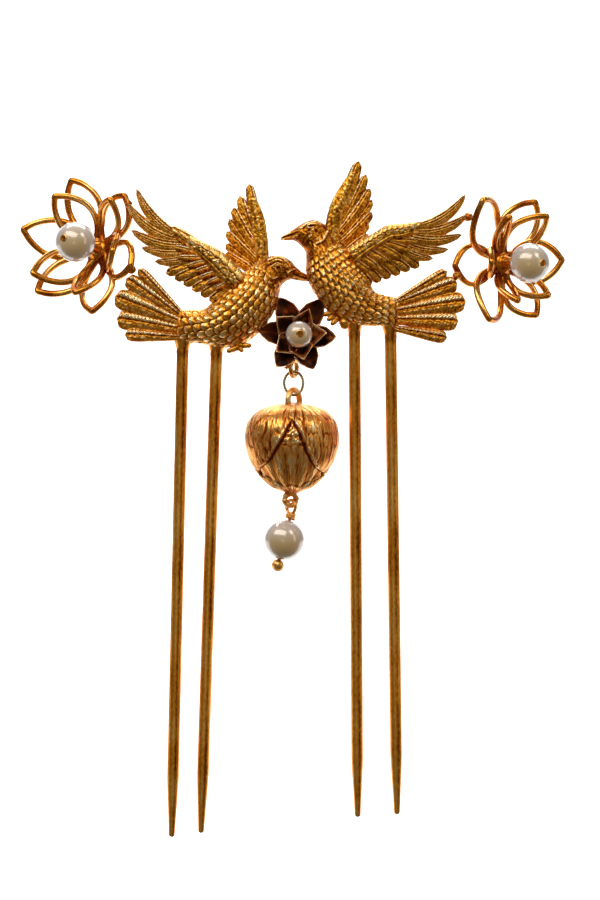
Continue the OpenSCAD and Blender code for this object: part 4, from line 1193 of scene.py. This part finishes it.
def prong(top_x, top_z, tip_x, tip_z):
    """Tapered wire with a solder cone at its top and a round tip. Radius = PRONG_R, less the
    taper, plus the cone, plus 1.5 % of uneven drawing lines round it. Its relief has a broad
    pale stripe and a narrow dark one down the front: a painted reflection of the surroundings
    that the real wire mirrors."""
    top, tip = np.array([top_x, 0, top_z]), np.array([tip_x, 0, tip_z])
    length = np.linalg.norm(tip - top)
    s = np.concatenate([np.linspace(0, 6, 40), np.linspace(6.2, length - TAPER, 70),
                        np.linspace(length - TAPER + 0.1, length - TIP_R, 40),
                        length - TIP_R + TIP_R * np.sin(np.linspace(0.1, 1.5, 12))])
    path = top + s[:, None] / length * (tip - top)
    near_tip = np.clip((s - length + TAPER) / TAPER, 0, 1)
    taper = smooth(length - TAPER, length, s) * 0.35 + 0.65 * near_tip
    radius = PRONG_R - (PRONG_R - TIP_R) * taper
    solder = 0.42 * (1 - smooth(1.0, 2.8, s)) + 0.05 * bell(s - 2.9, 0.25)
    end = np.sqrt(np.clip(1 - ((s - length + TIP_R) / TIP_R).clip(0) ** 2, 0.0004, 1))
    a = round_angles(PRONG_SIDES)
    lines = (1 + 0.015 * grain(a * 9 + top_x, a * 0 + 3.1, 1.0)[None]
             + 0.006 * grain(s[:, None] * 0.7, a[None] * 2, 1.0))
    r = ((radius + solder) * end)[:, None] * lines
    along = (tip - top) / length
    aside = unit(np.cross(along, [0, 1, 0]))
    rings = path[:, None] + r[..., None] * circle(a, aside, [0, 1, 0])
    worn = 0.47 - 0.02 * smooth(length - 14, length - 2, s) - 0.25 * bell(s - 3.1, 0.8)
    in_front, side = smooth(0.2, -0.2, np.sin(a))[None], np.cos(a)[None]
    # The pale and dark stripes down the front are a painted reflection of the surroundings.
    painted_reflection_stripe = in_front * (0.16 * bell(side + 0.25, 0.4) - 0.34 * bell(side - 0.42, 0.14))
    painted_reflection_stripe = painted_reflection_stripe + 0.16 * grain(s[:, None] * 0.25, a[None] * 1.5, 1.0)
    return skin(rings, worn[:, None] + painted_reflection_stripe)


piece("prongs", [prong(*row) for row in PRONGS], prong_gold)

# %% [markdown]
# ## Solder, and the eye of the flower
#
# Small beads of solder hold the wings and tails to the lotuses. Below the middle flower a stout
# eye carries the jump ring, and the end of its wire is twisted back round the stem. A torus
# would be too even for bent wire. So the eye is a ring of wire whose thickness varies a little,
# and the beads are lumpy balls.

# %% Solder and eye
# Place and radius of each bead
SOLDER = [[-23.7, -1.5, 21.1, 0.6], [-23.2, -2.0, 11.2, 0.6], [27.1, -1.5, 19.1, 0.6],
          [25.4, -1.5, 10.3, 0.6]]
HANG = np.array([1.0, 1.0, 0.0])
EYE_R, EYE_WIRE_R, EYE_TURN, EYE_Z = 1.2, 0.35, 68, -3.5
RING_STEPS = 96


def upright_ring(radius, wire_r, turn, centre, lumps, drop=0.0):
    """Round ring of wire that stands upright, turned about z. lumps makes the wire uneven, and
    drop pulls its lowest point down to a rounded corner."""
    a = round_angles(RING_STEPS)
    low = np.clip(-np.sin(a), 0, 1)
    path = np.stack([radius * np.cos(a) * (1 - 0.22 * drop * low), 0 * a,
                     radius * np.sin(a) - drop * 0.1 * low ** 3], -1)
    thick = wire_r * (1 + lumps * grain(a * 3, a * 0 + radius, 1.0))
    part = wire(path, thick, relief=0.6 + 0.3 * grain(a * 2, a * 0, 1.0), loop=True)
    return moved(part, about("z", turn), centre)


def twist(start, stop, radius, wire_r, turns, phase):
    """Wire wound round the line from start to stop: a circle carried along it."""
    start, stop = np.array(start, float), np.array(stop, float)
    along = unit(stop - start)
    aside = unit(np.cross(along, [0.3, 1, 0.1]))
    t = np.linspace(0, 1, int(40 * turns) + 8)
    winding = circle(TURN * turns * t + phase, aside, np.cross(aside, along))
    return wire(start + t[:, None] * (stop - start) + radius * winding, wire_r, relief=0.6,
                ref=along)


eye = upright_ring(EYE_R, EYE_WIRE_R, EYE_TURN, HANG + [0, 0, EYE_Z], 0.1)
eye_top = HANG + [0, 0, EYE_Z + EYE_R]
stalk = wire(np.linspace([1.4, 1.6, 0.4], eye_top, 20), np.linspace(0.6, 0.42, 20), relief=0.4)
strands = [twist(eye_top + [-1.2, -0.7, -1.2], eye_top + [0.15, -0.35, 0.2], 0.17, 0.15, 2.2, phase)
           for phase in (0, np.pi)]
piece("flower_eye", [eye, stalk] + strands, lotus_gold)
solder_beads = piece("solder_beads", [ball(row[:3], row[3], 0.3, relief=0.3) for row in SOLDER],
                     lotus_gold)
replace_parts(solder_beads, "frame")

# %% [markdown]
# ## The jump ring
#
# A thin oval ring of paler gold, free to swing in the flower's eye. A stretched torus would
# have a stretched section, so a round wire is carried along the oval. It rides on its own body.

# %% Jump ring
RING_H, RING_W, RING_WIRE_R, RING_Z = 4.0, 3.3, 0.225, -5.72
JUMP_RING_STEPS = 120
a = round_angles(JUMP_RING_STEPS)
oval = np.stack([(RING_W / 2 - RING_WIRE_R) * np.cos(a), 0 * a,
                 (RING_H / 2 - RING_WIRE_R) * np.sin(a)], -1)
ring = wire(oval + HANG + [0, 0, RING_Z], RING_WIRE_R, relief=0.6 + 0.3 * np.cos(2 * a), loop=True)
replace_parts(piece("swinging_ring", [ring], pale_gold, "ring"), "jump_ring")

# %% [markdown]
# ## The bud
#
# The bud is a closed lotus, wider than deep, with two outer petals that part in front and show
# the inner one. Separate petals could be laid over a core, but on the real bud they are one
# casting with low steps. So it is one turned form, and a point is set by its height and its
# angle from the front. The parting is a table of angles, one column for each side. Fine
# scratched lines run down the petals and follow the meridians: they lie where a grain that
# changes fast with the angle, and slowly with the height, crosses zero. The inner petal is
# pitted at its top and ribbed below, and striped sepals clasp the foot.

# %% Tables of the bud
BUD_X, BUD_TOP, BUD_H, BUD_W, BUD_DEPTH, BUD_RELIEF = 0.75, -8.754, 13.55, 14.2, 12.8, 0.35
BUD_STEPS, BUD_AROUND, BUD_CROWD = 210, 340, 0.4
# Place in the height, and share of the width there
BUD_PROFILE = [
    [0, 0.12], [0.07, 0.41], [0.16, 0.61], [0.25, 0.75], [0.34, 0.87], [0.43, 0.94], [0.52, 0.985],
    [0.61, 1], [0.7, 0.985], [0.79, 0.94], [0.87, 0.83], [0.93, 0.68], [0.98, 0.44], [1, 0.2]]
# Place in the height, angle of the parting to the left and to the right
PARTING = np.array([[0, 20, 20], [0.10, 45, 45], [0.20, 73, 74], [0.24, 71, 64], [0.285, 62, 41],
                    [0.34, 40, 33], [0.385, 33, 27], [0.457, 25, 21], [0.517, 20, 17.5],
                    [0.64, 10.5, 12], [0.672, 9, 11], [0.83, 0, 0], [1, 0, 0]], float)
# Angle from the front and top of the sepals, as a place in the height
SEPALS = np.array([[0, 0.085], [14, 0.065], [20, 0.05], [40, 0.12], [60, 0.19], [78, 0.25],
                   [90, 0.26]], float)
print("bud rows:", len(BUD_PROFILE), "profile,", len(PARTING), "parting,", len(SEPALS), "sepals")

# %% Bud
def bud_skin():
    """Bud. Radius = profile share × half the width or depth, less the sunk inner petal, plus
    grooves, lips and sepals. Angles are u - BUD_CROWD · sin u for even steps of u, so the points
    crowd together in front."""
    t = np.linspace(0, 1, BUD_STEPS)[:, None]
    t = t + 0.03 * np.sin(2 * TURN * t) / 2
    u = round_angles(BUD_AROUND)[None]
    turn = u - BUD_CROWD * np.sin(u)
    angle = np.degrees(turn)
    across, ahead = np.sin(turn), np.cos(turn)
    from_front = np.degrees(np.abs(np.arctan2(across, ahead)))
    side = np.where(from_front > 90, 180 - from_front, from_front)
    place, left, right = PARTING.T
    edge = np.where(across < 0, np.interp(t, place, left), np.interp(t, place, right))
    outer = smooth(-2.2, 2.2, side - edge)
    share = read(BUD_PROFILE, t)
    deep = BUD_RELIEF * share * (1 - outer)
    bent = angle * 0.105 + 0.15 * grain(angle * 0.05, t * 7, 1.0)
    fine = grain(bent, t * 3.3, 0.2)
    scratch = smooth(0.32, 0.02, np.abs(grain(bent + 5, t * 1.9, 0.28))) * (0.35 + 0.65 * outer)
    broad = grain(angle * 0.105 + 9, t * 2.2, 0.95)
    rough_top = (1 - outer) * smooth(0.46, 0.58, t) * (
        grain(angle * 0.105, t * 14, 0.42) + 0.6 * grain(angle * 0.2, t * 27, 0.5))
    ribs = np.cos(np.radians(side) * 18) * smooth(0.46, 0.38, t) * (1 - outer)
    lip = bell(side - edge - 2.4, 1.7) * smooth(0.84, 0.74, t) * smooth(0.12, 0.2, t)
    cut = bell(side - edge + 1.6, 1.7) * smooth(0.86, 0.8, t) * smooth(0.1, 0.18, t)
    leaf_top = np.interp(side, *SEPALS.T)
    sepal = smooth(0.010, -0.010, t - leaf_top) * smooth(0.02, 0.06, t)
    sepal_edge = bell(t - leaf_top, 0.010) * smooth(0.04, 0.08, t)
    stripes = np.cos(turn * 48) * sepal
    height = (0.04 * fine - 0.075 * scratch + 0.015 * broad + 0.075 * rough_top + 0.07 * ribs
              + 0.12 * lip - 0.18 * cut + 0.13 * sepal + 0.05 * stripes + 0.06 * sepal_edge)
    height = height * smooth(0, 0.03, t) * smooth(0, 0.05, 1 - t)
    rings = np.stack([
        BUD_X + (BUD_W / 2 * share - deep + height) * across,
        HANG[1] - (BUD_DEPTH / 2 * share - deep + height) * ahead,
        BUD_TOP + BUD_H * (t - 1) + 0 * turn], -1)
    # The shade is darker along the parting cut, a painted shadow between the petals, and lighter
    # towards the top, painted light from above.
    shade = (0.59 + 0.28 * fine - 0.48 * scratch + 0.05 * broad + 0.5 * rough_top + 0.2 * ribs
             + 0.4 * lip - 0.85 * cut + 0.10 * smooth(0.6, 1, t) + 0.25 * stripes
             + 0.3 * sepal_edge - 0.5 * bell(t - leaf_top - 0.02, 0.012))
    return skin(rings, shade)


UNDER_EYE_R, UNDER_EYE_WIRE_R, UNDER_EYE_LUMPS = 0.9, 0.43, 0.14
under_eye_z = BUD_TOP - BUD_H - UNDER_EYE_R
bail = upright_ring(radius=1.7, wire_r=0.45, turn=60, centre=HANG + [0, 0, BUD_TOP + 0.36],
                    lumps=0.04)
under_eye = upright_ring(UNDER_EYE_R, UNDER_EYE_WIRE_R, 20, [0.5, HANG[1], under_eye_z],
                         UNDER_EYE_LUMPS)
collar = moved(turned([[0.01, -0.5], [1.5, -0.45], [1.25, -0.1], [0.75, 0.12], [0.01, 0.2]],
                      relief=0.4), np.eye(3), [BUD_X + 0.1, HANG[1], BUD_TOP])
bud = piece("lotus_bud", [bud_skin(), bail, under_eye, collar], bud_gold, "drop")
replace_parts(bud, "bud")

# %% [markdown]
# ## The head pin and its pearl
#
# The last pearl is threaded on a head pin: a wire with a ball at one end. Its other end is bent
# into a loop through the bud's eye and wound twice round itself above the pearl. The windings
# could be rings stacked on the wire, but a coil has an end that shows, as on the real pin.

# %% Head pin and drop pearl
PIN_X, PIN_LOOP_R, PIN_WIRE_R, DROP_PEARL_R, PEARL_TILT = 0.6, 1.05, 0.25, 3.05, 14.5
WRAP_R, WRAP_WIRE_R, WRAP_TURNS, WRAP_FOOT, WRAP_RISE = 0.5, 0.27, 2.3, 0.32, 0.68
GAP, PIN_BALL_R = 0.05, 0.95
under_eye_hole = UNDER_EYE_R - UNDER_EYE_WIRE_R - UNDER_EYE_LUMPS
loop_at = np.array([PIN_X, HANG[1], under_eye_z - (under_eye_hole - PIN_WIRE_R + PIN_LOOP_R)])
tilt = about("y", PEARL_TILT)
pearl_at = loop_at - [0, 0, PIN_LOOP_R] + tilt @ np.array([0, 0, -(DROP_PEARL_R + GAP + 0.9)])
t = np.linspace(0, 1, 120)[:, None]
coil = np.hstack([WRAP_R * np.cos(TURN * WRAP_TURNS * t), WRAP_R * np.sin(TURN * WRAP_TURNS * t),
                  DROP_PEARL_R + WRAP_FOOT + WRAP_RISE * t])
wraps = wire(coil, WRAP_WIRE_R, ref=(0, 0, 1), relief=0.6)
shaft = turned([[0.01, -3.9], [PIN_WIRE_R, -3.9], [PIN_WIRE_R, 4.1], [0.01, 4.15]], 20)
pin_ball = ball((0, 0, -DROP_PEARL_R - 0.91), PIN_BALL_R, 0.02, 30)
loop = upright_ring(PIN_LOOP_R, PIN_WIRE_R, -50, loop_at, 0.04, 1.0)
pin_parts = [moved(part, tilt, pearl_at) for part in (wraps, shaft, pin_ball)] + [loop]
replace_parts(piece("head_pin_wire", pin_parts, bud_gold, "drop"), "head_pin")
drop = piece("pearl_drop", [pearl_skin(DROP_PEARL_R, 0.3, tilt, pearl_at)], pearl, "drop")
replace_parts(drop, "drop_pearl")

# %% [markdown]
# ## Camera, light and background
#
# The camera looks straight along +Y at 0.15 mm a pixel, as the photograph does. One pale sheet
# curves from the floor up behind the pin. An environment picture could light it all at once,
# but gold shows what it reflects. So one broad soft lamp, three small ones and a dim surround
# give it bright and dark places to show, and a last lamp only brightens the sheet.

# %% Camera
PHOTO_W, PHOTO_H = 600, 900
# Where the frame's origin lies in the photo, the size of a pixel and the distance, in mm
ORIGIN_X, ORIGIN_Y, PIXEL, DISTANCE = 287, 345, 0.15, 500.0
SENSOR = 36.0
camera_data = bpy.data.cameras.new("camera")
camera_data.sensor_width = SENSOR
camera_data.lens = SENSOR * DISTANCE / (PHOTO_H * PIXEL)
camera_data.clip_start, camera_data.clip_end = 0.01, 10
camera = bpy.data.objects.new("camera", camera_data)
camera.location = ((PHOTO_W / 2 - ORIGIN_X) * PIXEL * MM, -DISTANCE * MM,
                   (ORIGIN_Y - PHOTO_H / 2) * PIXEL * MM)
camera.rotation_euler = (np.pi / 2, 0, 0)
bpy.context.scene.collection.objects.link(camera)
bpy.context.scene.camera = camera
print("camera at", [round(x, 4) for x in camera.location])

# %% Paper sheet
FLOOR_Z, BEND_Y, BEND_R, SHEET_HALF_W = -92, 800, 140, 900.0
a = np.linspace(0, np.pi / 2, 24)
bend = np.stack([BEND_Y + BEND_R * np.sin(a), FLOOR_Z + BEND_R * (1 - np.cos(a))], -1)
line = np.vstack([[30, FLOOR_Z], bend, [BEND_Y + BEND_R, 900]])
sheet = np.stack([np.stack([0 * line[:, 0] + x, line[:, 0], line[:, 1]], -1)
                  for x in (-SHEET_HALF_W, SHEET_HALF_W)], 1)
mesh = bpy.data.meshes.new("studio_sheet")
rows = np.arange(len(line) - 1)
mesh.from_pydata((sheet.reshape(-1, 3) * MM).tolist(), [],
                 np.stack([rows * 2, rows * 2 + 1, rows * 2 + 3, rows * 2 + 2], -1).tolist())
studio = bpy.data.objects.new("studio_sheet", mesh)
bpy.context.scene.collection.objects.link(studio)
paper = Metal("paper")
mesh.materials.append(paper.finish(Base_Color=(0.9, 0.9, 0.9, 1), Roughness=0.9,
                                   Emission_Color=(1, 1, 1, 1), Emission_Strength=0.55))
print("sheet:", len(rows), "faces")

# %% Lamps and surround
SHEET_MIDDLE = np.array([0, 700, -20])
# Place in mm, width and height in mm, power in watts
LAMPS = {
    "window": [(-170, -290, 310), (600, 230), 1.48],
    "second_window": [(300, -250, 320), (140, 200), 0.38],
    "side": [(420, -230, 60), (90, 300), 0.14],
    "front": [(-60, -470, -60), (60, 60), 0.03],
    "back_wash": [(0, 420, 800), (900, 600), 9.0]}
for name, (place, (wide, tall), power) in LAMPS.items():
    data = bpy.data.lights.new(name, "AREA")
    data.shape = "RECTANGLE"
    data.size, data.size_y, data.energy = wide * MM, tall * MM, power
    lamp = bpy.data.objects.new(name, data)
    lamp.location = np.array(place) * MM
    target = SHEET_MIDDLE if name == "back_wash" else np.array([0, 0, 0])
    aim = unit(target - np.array(place))
    lamp.rotation_euler = (np.arccos(-aim[2]), 0, np.arctan2(aim[0], -aim[1]) + np.pi)
    bpy.context.scene.collection.objects.link(lamp)

world = bpy.data.worlds.new("studio")
world.use_nodes = True
surround = world.node_tree.nodes["Background"]
surround.inputs["Color"].default_value = (1.0, 0.90, 0.75, 1)
surround.inputs["Strength"].default_value = 0.17
bpy.context.scene.world = world
bpy.context.scene.view_settings.view_transform = "Standard"
print("lamps:", list(LAMPS))
